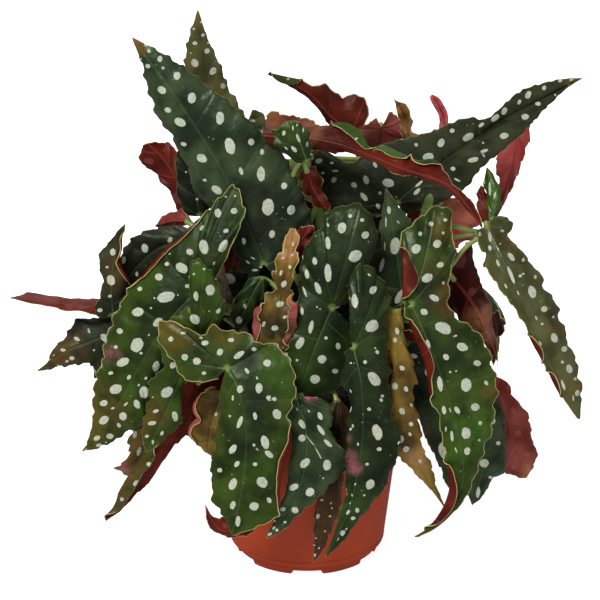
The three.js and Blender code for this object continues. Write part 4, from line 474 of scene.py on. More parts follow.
# Spots that are seen, by leaf: pixels across, pixels down, length, width, and the way of the
# length in degrees. A round one has its size alone. Other leaves get spots of their own.
SPOTS = {
    "leaf_top_left": [
        [146, 45, 4, 3, 150], [149, 51, 4, 3, 120], [141, 59, 2], [148, 66, 5, 4, 150],
        [160, 59, 6, 5, 90], [163, 68, 3], [177, 76, 8, 7, 80], [162, 90, 9, 7, 145],
        [192, 98, 11, 8, 80], [168, 110, 7, 5, 160], [180, 122, 12, 8, 155], [220, 118, 13, 8, 90],
        [184, 144, 6, 4, 160], [202, 158, 11, 8, 150], [230, 146, 17, 10, 105],
        [251, 142, 7, 6, 90], [262, 152, 6, 4, 90], [241, 171, 8, 4, 110], [261, 174, 15, 8, 90],
        [205, 180, 4, 3, 170], [217, 190, 12, 7, 145], [284, 186, 7, 6, 70], [268, 207, 17, 12, 85],
        [291, 210, 10, 8, 70], [272, 234, 8, 6, 80], [244, 241, 7, 4, 100], [248, 262, 5, 2, 140],
        [253, 258, 5, 1.5, 150], [255, 270, 6, 2.5, 0], [262, 267, 6, 1.5, 0]],
    "leaf_top_upright": [
        [201, 22, 2], [194, 29, 2.5], [203, 35, 4, 3, 20], [195, 43, 4.5, 4, 0], [208, 43, 2.5],
        [207, 51, 5.5, 5, 80], [191, 53, 1.5], [195, 63, 8.5, 7, 120], [213, 71, 8.5, 6, 50],
        [223, 86, 5.5, 5, 90]],
    "leaf_top_small": [[252, 121, 6, 5, 0]],
    "leaf_new_centre": [
        [284, 133, 5, 3.5, 75], [293, 128, 5, 1.5, 90], [297, 125, 3, 1.5, 70],
        [303, 130, 5, 2, 90], [298, 138, 9, 3, 110], [294, 149, 8, 3.5, 130],
        [286, 148, 4, 1.5, 135], [307, 144, 5.5, 2.5, 85]],
    "leaf_top_right": [
        [416, 145, 3.5], [428, 157, 11, 8, 10], [441, 143, 9, 6.5, 60], [452, 131, 5, 4.5, 30],
        [468, 137, 12, 7, 30], [481, 125, 6.5, 3.5, 35], [495, 118, 10, 5, 40],
        [504, 111, 8, 5, 60], [519, 102, 5.5, 3.5, 60], [528, 95, 8.5, 5.5, 60],
        [544, 88, 5, 4, 60], [560, 81, 4.5, 3, 20], [571, 80, 4, 2, 10], [569, 85, 2, 1.5, 20],
        [555, 95, 2], [538, 104, 5.5, 4, 0], [525, 117, 7.5, 6, 0], [504, 136, 9, 6, 10],
        [484, 151, 8, 3.5, 20], [483, 155, 6, 1.8, 120], [483, 143, 2.2, 2, 0],
        [473, 160, 11, 5, 15], [453, 169, 5, 4, 0], [457, 180, 7, 2, 155], [419, 184, 9.5, 3, 40],
        [417, 192, 9, 4, 45], [319, 161, 7, 5, 10], [332, 163, 3.5, 2.5, 0], [335, 171, 7, 2, 0],
        [334, 180, 6.5, 5, 60], [323, 173, 3.5, 3, 0], [354, 185, 6.5, 5, 140],
        [366, 180, 9, 5.5, 110], [364, 197, 10, 5, 130], [375, 165, 6, 3.5, 120],
        [388, 183, 12, 8.5, 170], [380, 193, 3.5], [378, 206, 6, 4, 120], [396, 197, 2, 1.5, 0],
        [416, 176, 3, 2, 90]],
    "leaf_arching": [
        [356, 139, 4.5, 2, 30], [376, 152, 4, 1.5, 20], [395, 161, 5, 1.5, 20],
        [401, 162, 2, 1.2, 0], [345, 133, 2, 1.2, 0], [336, 131, 3, 1.5, 0]],
    "leaf_red_wing": [[274, 73.5, 2.5, 2, 0], [288, 79, 3, 2, 20]],
    "leaf_orange_upright": [[405, 132, 2, 1.5, 90]],
    "leaf_left_strip": [[197, 199, 3, 2.5, 0], [186, 172, 2]],
    "leaf_right_narrow": [[484, 180, 9, 2.5, 100], [490, 189, 14, 2.5, 92], [495, 195, 7, 2, 80]],
    "leaf_right_droop": [
        [480, 234, 5, 3, 90], [490, 237, 10, 3, 97], [490, 248, 5.5, 3.5, 100],
        [502, 231, 3.5, 3, 0], [498, 249, 4, 1.5, 120], [500, 244, 2, 1.5, 0],
        [498, 263, 7, 2.5, 110], [511, 257, 9.5, 5, 130], [523, 260, 4, 3, 90],
        [511, 275, 19, 3.5, 112], [520, 276, 3.5, 3, 30], [523, 274, 2.5, 2, 0],
        [535, 277, 4, 3, 90], [506, 286, 5, 2, 120], [532, 292, 12.5, 7.5, 105],
        [518, 293, 5, 1.5, 115], [544, 309, 6.5, 6, 30], [536, 318, 5, 2, 110],
        [553, 317, 3, 2.5, 45], [542, 324, 3, 2.5, 0], [554, 338, 10, 6.5, 105],
        [564, 349, 6, 5.5, 0], [540, 343, 5, 2, 120], [562, 362, 3.5, 3, 0], [569, 369, 9, 6, 105],
        [575, 379, 3.5], [563, 385, 11, 3, 110], [577, 393, 6, 4.5, 80], [573, 398, 6, 1.5, 90]],
    "leaf_right_front": [
        [431, 224, 5], [445, 220, 4, 3.5, 0], [443, 233, 3], [420, 234, 4.5, 4, 90],
        [437, 244, 8.5, 7.5, 50], [416, 249, 10, 8.5, 45], [440, 265, 7.5, 5.5, 20],
        [427, 278, 11.5, 8.5, 30], [443, 283, 3.5, 2.5, 90], [434, 298, 10, 6, 155],
        [424, 312, 7.5, 6, 160], [443, 328, 17, 11, 155], [455, 336, 4.5, 2, 20],
        [462, 347, 11.5, 8, 160], [446, 357, 7, 5.5, 125], [477, 363, 7.5, 6, 170],
        [440, 384, 15.5, 5.5, 97], [450, 372, 2.3], [456, 371, 1.8], [466, 385, 13.5, 10.5, 92],
        [486, 383, 5, 3.5, 125], [444, 410, 8.5, 4, 95], [450, 410, 5, 1.5, 110],
        [457, 410, 8, 4.5, 125], [475, 407, 8.5, 8, 0], [480, 423, 4], [446, 429, 5, 2, 90],
        [452, 436, 11, 3, 97], [466, 433, 11.5, 9, 90], [479, 440, 2.5], [467, 451, 8, 6, 80],
        [456, 450, 6, 1.5, 110], [428, 344, 9, 4, 105]],
    "leaf_centre_back": [
        [389, 210, 8, 3.5, 95], [386, 222, 10, 1.5, 90], [398, 222, 4, 1.5, 130],
        [395, 246, 17, 10, 85], [385, 246, 9, 1.5, 90], [382, 265, 14, 4, 75], [405, 274, 9, 4, 90],
        [400, 296, 17, 7, 55]],
    "leaf_centre_front": [
        [328, 225, 4, 2, 105], [350, 216, 4, 4, 90], [362, 220, 4, 3.5, 0], [342, 228, 11, 8.5, 85],
        [365, 235, 8, 7, 45], [328, 243, 13, 5, 95], [355, 256, 14, 11, 40],
        [315, 261, 7.5, 5, 100], [328, 273, 19, 7, 93], [307, 274, 9.5, 4.5, 100],
        [318, 288, 13, 5.5, 110], [305, 292, 11, 2.2, 110], [302, 311, 8, 3.5, 95],
        [311, 327, 13.5, 4.5, 78], [300, 343, 13, 7, 60], [285, 356, 8, 4.5, 50],
        [296, 326, 4, 1.8, 80], [317, 307, 2], [320, 309, 1.5], [326, 338, 3.5], [322, 359, 8.5],
        [338, 346, 7, 5, 95], [297, 360, 3, 2.5, 0], [335, 371, 6, 5, 0], [315, 379, 10, 9, 0]],
    "leaf_centre_long": [
        [369, 275, 3.5, 1.8, 135], [373, 290, 9, 6.5, 50], [355, 301, 14, 6.5, 95],
        [372, 326, 14, 11, 40], [377, 352, 4.5, 3.5, 120], [375, 348, 2], [365, 362, 4],
        [374, 379, 16, 10, 130], [351, 363, 2], [351, 391, 4, 1.5, 110], [350, 407, 10.5, 4, 92],
        [382, 396, 3.5, 3, 0], [381, 400, 4, 3, 120], [369, 409, 4, 3.5, 0],
        [377, 432, 16.5, 9.5, 110], [353, 426, 4, 2, 100], [351, 429, 3, 2.2, 60],
        [358, 444, 3, 2, 100], [379, 449, 5, 4, 0], [367, 464, 3.5, 3, 0], [370, 484, 10.5, 8, 60],
        [355, 484, 3, 1.5, 60], [352, 495, 3, 1.5, 100], [347, 492, 7, 1.2, 95],
        [364, 495, 2.5, 2, 0], [350, 503, 2.5, 1.3, 60], [348, 512, 5.5, 3, 60],
        [357, 510, 5, 4, 90], [353, 518, 4.5, 3.5, 0], [343, 533, 6, 3.5, 60],
        [346, 529, 3.5, 1.5, 50], [341, 532, 5, 1.2, 60], [338, 539, 4, 1, 60]],
    "leaf_front_small": [
        [297, 409, 4, 1.5, 120], [309, 411, 3, 1.5, 130], [320, 416, 8, 4.5, 115],
        [302, 424, 10, 5.5, 120], [321, 430, 12.5, 4, 125], [302, 438, 7], [328, 443, 11, 4, 135],
        [327, 465, 11, 8, 90], [305, 463, 12, 7.5, 45], [323, 478, 2, 1.5, 0],
        [294, 487, 9.5, 6, 30], [310, 492, 9, 8, 45], [283, 509, 5.5, 4, 10], [295, 510, 7, 6.5, 0],
        [285, 522, 3, 2.5, 0], [275, 521, 2.5, 2, 0], [274, 528, 4, 2.5, 45], [277, 530, 3],
        [270, 534, 5, 2.5, 30], [288, 402, 4, 2, 80], [310, 440, 19, 0.9, 130],
        [319, 454, 17, 1, 118]],
    "leaf_front_left": [
        [183, 333, 5.5, 2.5, 0], [171, 339, 5], [205, 343, 7.5, 5, 5], [201, 338, 4, 2, 0],
        [231, 340, 6.5, 4, 0], [185, 357, 6.5], [197, 361, 8, 7, 0], [220, 352, 7.5, 6, 60],
        [239, 355, 12, 5.5, 35], [267, 363, 8, 7, 20], [254, 349, 5, 4, 0],
        [204, 373, 4.5, 3.5, 10], [247, 371, 6.5, 3.5, 125], [240, 389, 8, 6, 90],
        [233, 398, 5.5, 2, 90], [259, 388, 10.5, 7, 90], [257, 378, 3.5, 2, 110],
        [269, 398, 6, 5, 150], [274, 399, 5, 4, 0], [277, 414, 10.5, 8.5, 120], [230, 416, 2.5],
        [240, 422, 13, 4.5, 68], [255, 416, 8, 4, 100], [265, 442, 13.5, 8, 105],
        [254, 445, 3.5, 2.5, 120], [257, 449, 3.5, 1.5, 130], [233, 449, 10.5, 6, 55],
        [269, 454, 10, 5.5, 140], [255, 464, 4.5, 4, 0], [237, 464, 7, 4.5, 55],
        [220, 470, 5, 4.5, 0], [233, 484, 12, 7.5, 70], [262, 482, 12, 10, 140],
        [269, 500, 6.5, 4.5, 120], [233, 505, 8.5, 5.5, 70], [254, 506, 9.5, 8.5, 0],
        [238, 521, 11, 4.8, 85]],
    "leaf_left_big": [
        [226, 197, 2.5, 2, 0], [235, 196, 2], [218, 213, 9, 7, 95], [234, 211, 7, 6, 20],
        [202, 228, 6, 3, 60], [226, 231, 5.5, 4.5, 30], [204, 247, 15, 9, 100],
        [223, 246, 14, 7, 60], [190, 252, 7, 6, 150], [170, 254, 2, 1.5, 0], [167, 264, 4.5, 4, 0],
        [182, 268, 13.5, 9, 145], [214, 263, 4, 2, 60], [159, 277, 8, 7, 0], [188, 286, 6.5, 4, 0],
        [166, 297, 18, 10.5, 15], [177, 290, 1.5], [178, 295, 1.8, 1.6, 0], [154, 298, 3, 2.5, 0],
        [140, 289, 5, 4.5, 30], [138, 312, 11.5, 8.5, 10], [151, 308, 2.5, 2, 0],
        [158, 322, 11, 7, 40], [120, 331, 6.5, 6, 0], [149, 335, 3, 1.5, 60],
        [137, 345, 15, 12, 60], [116, 347, 4, 3.5, 0], [141, 353, 3.5, 2.5, 0],
        [123, 362, 13.5, 8, 25], [111, 373, 5, 3.5, 10], [129, 377, 5.5, 3.5, 60],
        [156, 366, 11, 6.5, 75], [146, 378, 3.5, 2.5, 60], [139, 385, 2.5],
        [116, 389, 12.5, 9.5, 20], [144, 392, 12, 9, 90], [104, 403, 8, 6, 20],
        [113, 408, 4, 2, 20], [126, 404, 5, 2, 45], [137, 404, 9, 6, 110],
        [104, 420, 10.5, 7.5, 35], [123, 416, 8.5, 7.5, 90], [119, 425, 5, 3.5, 120],
        [97, 438, 7, 4.5, 30], [110, 436, 7, 5.5, 0], [99, 445, 6, 3.5, 10], [106, 442, 2, 1.5, 0]],
    "leaf_left_green": [
        [204, 269, 3, 2.5, 0], [194, 274, 2], [210, 290, 11, 9.5, 90], [196, 296, 9.5, 4.5, 95],
        [211, 299, 1.5], [218, 311, 5.5, 4, 40], [209, 311, 1.5], [195, 319, 11, 8.5, 135],
        [173, 365, 7, 6, 60], [167, 392, 13.5, 9.5, 40], [153, 397, 2.5, 1.2, 45],
        [175, 416, 10, 6, 100], [156, 411, 6, 3.5, 20], [152, 423, 8, 4, 10], [147, 436, 4, 3, 20],
        [162, 433, 5, 3, 60], [153, 442, 4.5, 2, 90]],
    "leaf_left_olive": [
        [105, 338, 11, 7, 145], [89, 331, 5, 2, 110], [77, 339, 6.5, 3.5, 150],
        [63, 350, 5.5, 3, 0], [72, 358, 5, 4, 0], [54, 355, 2, 1.2, 30], [67, 361, 3.5, 2.2, 20],
        [58, 365, 2.2, 2, 0], [49, 360, 4, 1.5, 20], [94, 350, 2], [94, 369, 8, 1.5, 120]],
    "leaf_left_upright": [
        [113, 252, 7, 5.5, 90], [107, 267, 3, 2.5, 0], [111, 280, 10.5, 8, 110],
        [110, 296, 4, 3, 20], [100, 310, 5.5, 4, 0]],
    "leaf_left_dark": [
        [145, 248, 9, 6.5, 105], [170, 240, 6, 4.5, 60], [124, 260, 7, 4, 80],
        [137, 274, 5, 3, 90]],
    "leaf_golden_twisted": [
        [293, 244, 4, 2, 90], [292, 255, 3.5, 2, 45], [283, 258, 4, 2, 30], [290, 267, 4, 3, 100],
        [281, 273, 6, 2.5, 75], [284, 284, 7.5, 5.5, 60], [280, 304, 8, 6, 20],
        [285, 317, 4.5, 3, 30], [275, 328, 7, 5.5, 0], [264, 324, 6, 3, 70]],
    "leaf_dark_small": [[245, 306, 5, 3.5, 100], [239, 320, 7.5, 6, 90]],
    "leaf_golden_hanging": [
        [397, 331, 7, 4, 100], [395, 340, 5, 4, 90], [402, 368, 6, 4.5, 150],
        [395, 386, 7, 5.5, 95], [406, 389, 5.5, 4, 110], [402, 411, 7, 5.5, 130],
        [411, 424, 4.5, 4, 120], [401, 439, 8, 6, 90], [406, 449, 6], [410, 434, 4, 3, 120],
        [411, 405, 4, 2, 120], [420, 461, 4, 3, 120]],
    "leaf_dark_low": [
        [412, 330, 10, 8, 60], [413, 356, 9, 4.5, 170], [428, 372, 9, 6, 110],
        [443, 450, 17, 8.5, 100], [455, 472, 7, 4, 90]],
    "leaf_right_dark": [
        [492, 421, 7, 6.5, 0], [498, 443, 4.5, 4, 0], [484, 463, 9.5, 8.5, 0],
        [490, 477, 3.5, 3, 0], [478, 492, 11, 4, 85]],
    "leaf_centre_low": [
        [318, 516, 5, 3.5, 80], [331, 503, 2.5, 1.5, 60], [332, 508, 2.5, 1.5, 60],
        [330, 516, 2.5, 2, 0], [325, 531, 2, 1.5, 45], [316, 538, 2, 1.2, 0], [314, 545, 2, 1.5, 0],
        [319, 548, 2, 1.5, 60], [315, 555, 3.5, 2, 70], [322, 500, 3, 2, 0]],
    "leaf_left_long": [[149, 464, 5, 4.5, 0], [136, 483, 7, 4, 50], [122, 499, 4]],
    "leaf_brown_low": [[135, 434, 8, 4, 80], [139, 451, 9, 4, 70]],
    "leaf_golden_low": [[216, 414, 4, 3, 60], [226, 430, 5, 3.5, 80]],
}

# Patches of colour on a leaf, each as pixels across, pixels down, radius, and how much: painted
# shade, lighter green with painted sheen, golden ageing, pale colour with painted highlights, and
# pink blemishes
PATCHES = {
    # Painted shade: near-black green where a leaf lies in shade
    "shade": {
        "leaf_top_left": [[270, 225, 75, 0.8], [245, 255, 45, 0.6], [250, 165, 34, 0.35]],
        "leaf_centre_front": [[350, 275, 50, 0.65], [322, 305, 34, 0.4]],
        "leaf_centre_back": [[380, 290, 40, 0.7]],
        "leaf_centre_long": [[375, 395, 45, 0.5], [372, 450, 40, 0.5]],
        "leaf_left_big": [[190, 300, 40, 0.5], [158, 350, 40, 0.45], [232, 218, 34, 0.55],
            [200, 243, 34, 0.4], [180, 280, 28, 0.35]],
        "leaf_left_dark": [[160, 255, 44, 0.45]],
        "leaf_left_upright": [[106, 305, 24, 0.7], [112, 262, 34, 0.4]],
        "leaf_left_olive": [[114, 342, 46, 0.9]],
        "leaf_left_strip": [[195, 185, 60, 0.7]],
        "leaf_front_left": [[257, 400, 26, 0.75], [246, 432, 30, 0.5], [205, 362, 26, 0.35],
            [247, 361, 19, 0.7]],
        "leaf_right_front": [[440, 300, 34, 0.6], [455, 350, 34, 0.35], [424, 262, 24, 0.45],
            [429, 290, 22, 0.6]],
        "leaf_top_right": [[400, 190, 60, 0.55], [345, 190, 52, 0.8]],
        "leaf_dark_low": [[430, 380, 60, 0.6]],
        "leaf_golden_twisted": [[279, 337, 30, 0.9], [278, 303, 24, 0.4]],
        "leaf_arching": [[268, 128, 28, 0.5], [330, 140, 50, 0.45]],
        "leaf_red_wing": [[332, 108, 28, 0.35]],
        "leaf_left_long": [[128, 486, 46, 0.5]],
    },
    # Lighter green; the patch on the long centre leaf is painted sheen
    "green_and_sheen": {
        "leaf_front_left": [[278, 374, 28, 0.5], [262, 470, 26, 0.35], [184, 352, 20, 0.3]],
        "leaf_left_green": [[204, 266, 20, 0.45], [172, 345, 22, 0.4]],
        "leaf_right_front": [[412, 252, 24, 0.3], [478, 430, 38, 0.75], [442, 450, 30, 0.5]],
        "leaf_left_big": [[140, 400, 30, 0.3]],
        "leaf_centre_front": [[298, 375, 24, 0.35]],
        "leaf_centre_long": [[350, 508, 24, 0.3]],
        "leaf_new_centre": [[285, 128, 20, 0.5]],
        "leaf_right_narrow": [[497, 195, 20, 0.5]],
        "leaf_arching": [[370, 150, 60, 0.8]],
    },
    "golden": {
        "leaf_top_left": [[138, 44, 15, 0.8]],
        "leaf_top_upright": [[198, 14, 14, 0.9], [190, 65, 14, 0.4], [212, 95, 20, 0.3]],
        "leaf_top_right": [[582, 79, 20, 0.9]],
        "leaf_front_left": [[172, 330, 30, 0.5], [226, 333, 20, 0.4]],
        "leaf_right_front": [[444, 228, 18, 0.45], [448, 300, 24, 0.45], [432, 266, 18, 0.2],
            [489, 392, 12, 0.4], [412, 538, 16, 0.95]],
        "leaf_left_long": [[128, 486, 50, 0.5]],
        "leaf_right_droop": [[578, 385, 26, 0.3], [512, 245, 14, 0.3], [560, 330, 16, 0.3]],
        "leaf_left_big": [[100, 410, 36, 0.4], [92, 440, 20, 0.5]],
        "leaf_left_green": [[146, 415, 26, 0.45]],
        "leaf_left_olive": [[56, 356, 40, 0.45]],
        "leaf_left_upright": [[108, 270, 28, 0.35]],
        "leaf_centre_low": [[328, 510, 40, 0.3]],
        "leaf_golden_twisted": [[292, 250, 30, 0.6]],
    },
    # Pale colour, and painted highlights on the twisted golden, pink hanging and folded red leaves
    "pale": {
        "leaf_golden_twisted": [[291, 244, 22, 0.55], [294, 297, 9, 0.95]],
        "leaf_arching": [[310, 130, 17, 0.3], [274, 120, 13, 0.25]],
        "leaf_orange_upright": [[412, 126, 14, 0.7], [398, 108, 12, 0.4]],
        "leaf_pink_hanging": [[448, 212, 18, 0.5], [466, 222, 14, 0.4]],
        "leaf_right_low_red": [[530, 472, 12, 0.35]],
        "leaf_right_folded": [[483, 324, 26, 0.35]],
        "leaf_golden_hanging": [[418, 462, 20, 0.3]],
    },
    "blush": {
        "leaf_centre_long": [[351, 457, 8.5, 0.8], [355, 468, 9, 1], [349, 439, 5, 0.4]],
        "leaf_left_big": [[112, 354, 13, 0.4]],
        "leaf_top_left": [[133, 38, 9, 0.5]],
        "leaf_brown_low": [[118, 468, 16, 0.7]],
        "leaf_front_small": [[311, 396, 8, 0.8]],
    },
}


# Curves and surfaces, in millimetres

def place(u, v, front):
    """A point of the view, set at its distance in front of the pot's axis."""
    cos, sin = math.cos(VIEW_TILT), math.sin(VIEW_TILT)
    rise = (VIEW_SIZE / 2 - v) / VIEW_FOCUS
    ray = np.array([(u - VIEW_SIZE / 2) / VIEW_FOCUS, cos + rise * sin, -sin + rise * cos])
    return VIEW_EYE + ray * (-front - VIEW_EYE[1]) / ray[1]


def seen(points):
    """Where points show in the view, in pixels."""
    cos, sin = math.cos(VIEW_TILT), math.sin(VIEW_TILT)
    way = points - VIEW_EYE
    depth = way[..., 1] * cos - way[..., 2] * sin
    height = way[..., 1] * sin + way[..., 2] * cos
    u = VIEW_SIZE / 2 + VIEW_FOCUS * way[..., 0] / depth
    v = VIEW_SIZE / 2 - VIEW_FOCUS * height / depth
    return np.stack([u, v], axis=-1)


def unit(vectors):
    """Vectors of the same ways, each with length 1."""
    length = np.linalg.norm(vectors, axis=-1, keepdims=True)
    return vectors / np.maximum(length, TINY)


def length_shares(points):
    """How far along the straight lengths between them each point lies, from 0 to 1."""
    steps = np.linalg.norm(np.diff(np.asarray(points, float), axis=0), axis=1)
    reached = np.concatenate([[0], np.cumsum(steps)])
    return reached / reached[-1]


class Line:
    """A smooth curve through points, read by its share of the straight lengths between them."""

    def __init__(self, points):
        self.points = np.asarray(points, float)
        self.reached = length_shares(self.points)
        before = 2 * self.points[0] - self.points[1]
        after = 2 * self.points[-1] - self.points[-2]
        padded = np.vstack([before, self.points, after])
        self.slopes = (padded[2:] - padded[:-2]) / 2
        walk = self.at(np.linspace(0, 1, LENGTH_STEPS))
        self.length = np.linalg.norm(np.diff(walk, axis=0), axis=1).sum()

    def span(self, shares):
        shares = np.atleast_1d(np.asarray(shares, float))
        i = np.clip(np.searchsorted(self.reached, shares), 1, len(self.reached) - 1) - 1
        w = (shares - self.reached[i]) / (self.reached[i + 1] - self.reached[i])
        return i, w[:, None]

    def at(self, shares):
        i, w = self.span(shares)
        a, b, m, n = self.points[i], self.points[i + 1], self.slopes[i], self.slopes[i + 1]
        return (a + m * w + (3 * (b - a) - 2 * m - n) * w ** 2 + (2 * (a - b) + m + n) * w ** 3)

    def way(self, shares):
        i, w = self.span(shares)
        a, b, m, n = self.points[i], self.points[i + 1], self.slopes[i], self.slopes[i + 1]
        return unit(m + 2 * (3 * (b - a) - 2 * m - n) * w + 3 * (2 * (a - b) + m + n) * w ** 2)


def rib_share(q, turn):
    """The place on the rib that a margin place belongs to."""
    return np.clip((np.asarray(q, float) - turn) / (1 - turn), 0, 1) ** VEIN_SWEEP


def traced_lines(leaf):
    """The rib and the two margins of a leaf whose outline is seen."""
    rib = np.array(leaf["rib"], float)
    shares = length_shares(rib[:, :2])

    def flat(s):
        return np.array([np.interp(s, shares, rib[:, k]) for k in range(3)])

    sides = []
    for side, margin in enumerate((leaf["one"], leaf["two"])):
        turn = leaf["turn"][side]
        drawn = length_shares([p[:2] for p in margin] + [leaf["rib"][-1][:2]])
        points = []
        for i, (u, v) in enumerate(margin):
            s = float(rib_share(drawn[i], drawn[turn]))
            near = flat(s)
            step = flat(min(s + STEP_AHEAD, 1)) - flat(max(s - STEP_BEHIND, 0))
            run = math.hypot(step[0], step[1])
            along = ((u - near[0]) * step[0] + (v - near[1]) * step[1]) / run
            across = abs((u - near[0]) * step[1] - (v - near[1]) * step[0]) / run
            slope = min(max(step[2] / run, -LOBE_SLOPE), LOBE_SLOPE)
            front = near[2] + along * slope + across * MM_PER_PIXEL * leaf["fall"][side]
            points.append(place(u, v, front))
        curve = Line(points + [place(*leaf["rib"][-1])])
        sides.append((curve, curve.reached[turn]))
    return Line([place(*p) for p in leaf["rib"]]), sides


def grown_lines(leaf):
    """The rib and margins of a leaf on the side turned away, from its width and length."""
    spine = np.array(leaf["spine"], float)
    rib = Line(spine)
    outward = unit(spine[1] * [1, 1, 0])
    sides = []
    for side, width in enumerate(leaf["sides"]):
        outline, turn = (WIDE_SIDE if width >= leaf["sides"][1 - side] else SLIM_SIDE)
        points = []
        for along, across in outline:
            tangent = rib.way(max(along, 0))[0]
            point = rib.at(max(along, 0))[0] + tangent * min(along, 0) * rib.length
            sideways = unit(np.cross(outward + [0, 0, BACK_LEAN], tangent)) * (1 - 2 * side)
            point = point + sideways * width * across
            point[2] -= BACK_DROOP * width * across * across
            points.append(point)
        curve = Line(points + [spine[2]])
        sides.append((curve, curve.reached[turn]))
    return rib, sides


def cleft_share(base, curve, turn):
    """Where a margin leaves the straight line of its cleft: the blade's first row goes there."""
    start = unit(curve.at(0)[0] - base)
    for k in range(1, CLEFT_STEPS - 1):
        way = unit(curve.at(turn * k / CLEFT_STEPS)[0] - base)
        if math.acos(min(1, float(way @ start))) > CLEFT_ANGLE:
            return 0 if k == 1 else turn * (k - 1) / CLEFT_STEPS
    return turn * CLEFT_MOST


def eased(values, width):
    """Values along rows, evened out over about width rows each way."""
    reach = int(width * EASE_REACH)
    kernel = np.exp(-0.5 * (np.arange(-reach, reach + 1) / max(width, EASE_LEAST)) ** 2)
    kernel /= kernel.sum()
    padded = np.concatenate([values[:1].repeat(reach, 0), values, values[-1:].repeat(reach, 0)])
    return np.stack([np.convolve(padded[:, k], kernel, "valid") for k in range(3)], axis=1)


def coarse_rows(rib):
    """How many rows between veins a half of a blade has along its rib."""
    if rib.length > LONG_LEAF:
        return LONG_ROWS
    return MIDDLE_ROWS if rib.length > SHORT_LEAF else SHORT_ROWS


def half_rows(side, curve, turn, rib, fine):
    """The rows of one half: a fan round the lobe, then steps along the rib."""
    rows = coarse_rows(rib)
    spread = rib.length / rows
    fan = min(max(round(curve.length * turn / spread / FAN_STEP), 1), FAN_MOST)
    first = cleft_share(rib.at(0)[0], curve, turn)
    lobe = first + (turn - first) * np.arange(fan * fine) / (fan * fine)
    body = turn + (1 - turn) * np.arange(rows * fine + 1) / (rows * fine)
    q = np.concatenate([lobe, body])
    start = rib.at(np.concatenate([np.zeros(fan * fine), rib_share(body, turn)]))
    row = curve.at(q) - start
    normal = unit(np.cross(row, curve.way(q))) * (1 - 2 * side)
    normal[-1] = normal[-2]
    veins = np.concatenate([np.linspace(0, fan / 2, fan * fine, endpoint=False),
                            fan / 2 + np.linspace(0, rows / 2, rows * fine + 1)])
    return {"side": side, "fan": fan * fine, "q": q, "reach": q * curve.length, "start": start,
            "row": row, "normal": unit(eased(normal, fine)), "veins": veins}


def blade_halves(leaf, rib, sides, fine, columns, seed):
    """The two halves of a blade: rows of points from the rib to each margin."""
    halves = [half_rows(side, *edge, rib, fine) for side, edge in enumerate(sides)]
    facing = leaf.get("outward", VIEW_BACK)
    towards = sum(float(((h["normal"] @ facing) * np.linalg.norm(h["row"], axis=1)).sum())
                  for h in halves)
    front = -1 if towards < 0 else 1
    upper = front if leaf["shows"] == "upper" else -front
    draw = random.Random(seed)
    ruffles, teeth = (
        [(length * draw.uniform(*LENGTH_SPREAD), height, draw.uniform(*START_SPREAD))
         for length, height in sort] for sort in (RUFFLES, TEETH))
    for half in halves:
        shape_half(half, leaf, front, upper * front, columns, ruffles, teeth)
    return halves, front


def shape_half(half, leaf, front, raised, columns, ruffles, teeth):
    """Gives a half its teeth, bulge, waves, ruffles and lips, and raises it between the veins."""
    q, row, side, reach = half["q"], half["row"], half["side"], half["reach"]
    size = np.linalg.norm(row, axis=1)
    swell, lip_width = lip_shape(q, [lip for lip in leaf.get("lips", []) if lip[0] == side])
    steady = np.minimum(1, size / TOOTH_ROOM) * np.minimum(1, (1 - q) * TIP_EASE)
    steady = steady * (1 - LIP_SMOOTH * swell)
    crumple = leaf.get("crumple", 1)
    jag = sum(h * np.cos(2 * np.pi * (reach / each + turn)) for each, h, turn in teeth)
    row = row * (1 - crumple * jag * steady / np.maximum(size, 1))[:, None]
    normal = half["normal"] * front
    fade = np.sin(np.pi * np.minimum(1, q * FADE_STRETCH)).clip(0) ** 0.5
    phase = side * SIDE_PHASE + leaf.get("phase", 0)
    wave = leaf.get("wave", WAVE) * fade * np.sin(2 * np.pi * WAVES * q + phase)
    ruffle = sum(h * np.sin(2 * np.pi * reach / each + turn + side) for each, h, turn in ruffles)
    ruffle = crumple * fade * ruffle * (1 - LIP_CALM * swell) * np.minimum(1, size / RUFFLE_ROOM)
    t = np.linspace(0, 1, columns + 1)
    lift = (leaf.get("bulge", BULGE) * size)[:, None] * 4 * t * (1 - t)
    lift = lift + wave[:, None] * t ** 2 + ruffle[:, None] * t ** 3
    part = half["veins"] % 1
    puff = (1 - (2 * part - 1) ** 2) * np.minimum(1, size / QUILT_ROOM) * fade
    lift = lift + QUILT * raised * puff[:, None] * (4 * t * (1 - t)) ** QUILT_FLATNESS
    points = half["start"][:, None] + row[:, None] * t[:, None]
    half["points"] = points + normal[:, None] * lift[..., None]
    half["across"] = np.broadcast_to(size[:, None] * t, lift.shape).copy()
    half["inside"] = np.broadcast_to(size[:, None] * (1 - t), lift.shape).copy()
    if swell.any():
        roll_lips(half, swell, lip_width, normal)


def lip_shape(q, lips):
    """How far each row of the margin is rolled over, and how wide its lip is."""
    swell, width = np.zeros(len(q)), np.ones(len(q))
    for _, start, end, most in lips:
        share = ((q - start) / (end - start)).clip(0, 1)
        rise = np.sin(np.pi * share).clip(0)
        swell, width = np.maximum(swell, rise), width + (most - 1) * rise ** LIP_FULLNESS
    return np.minimum(1, swell * LIP_RISE), width


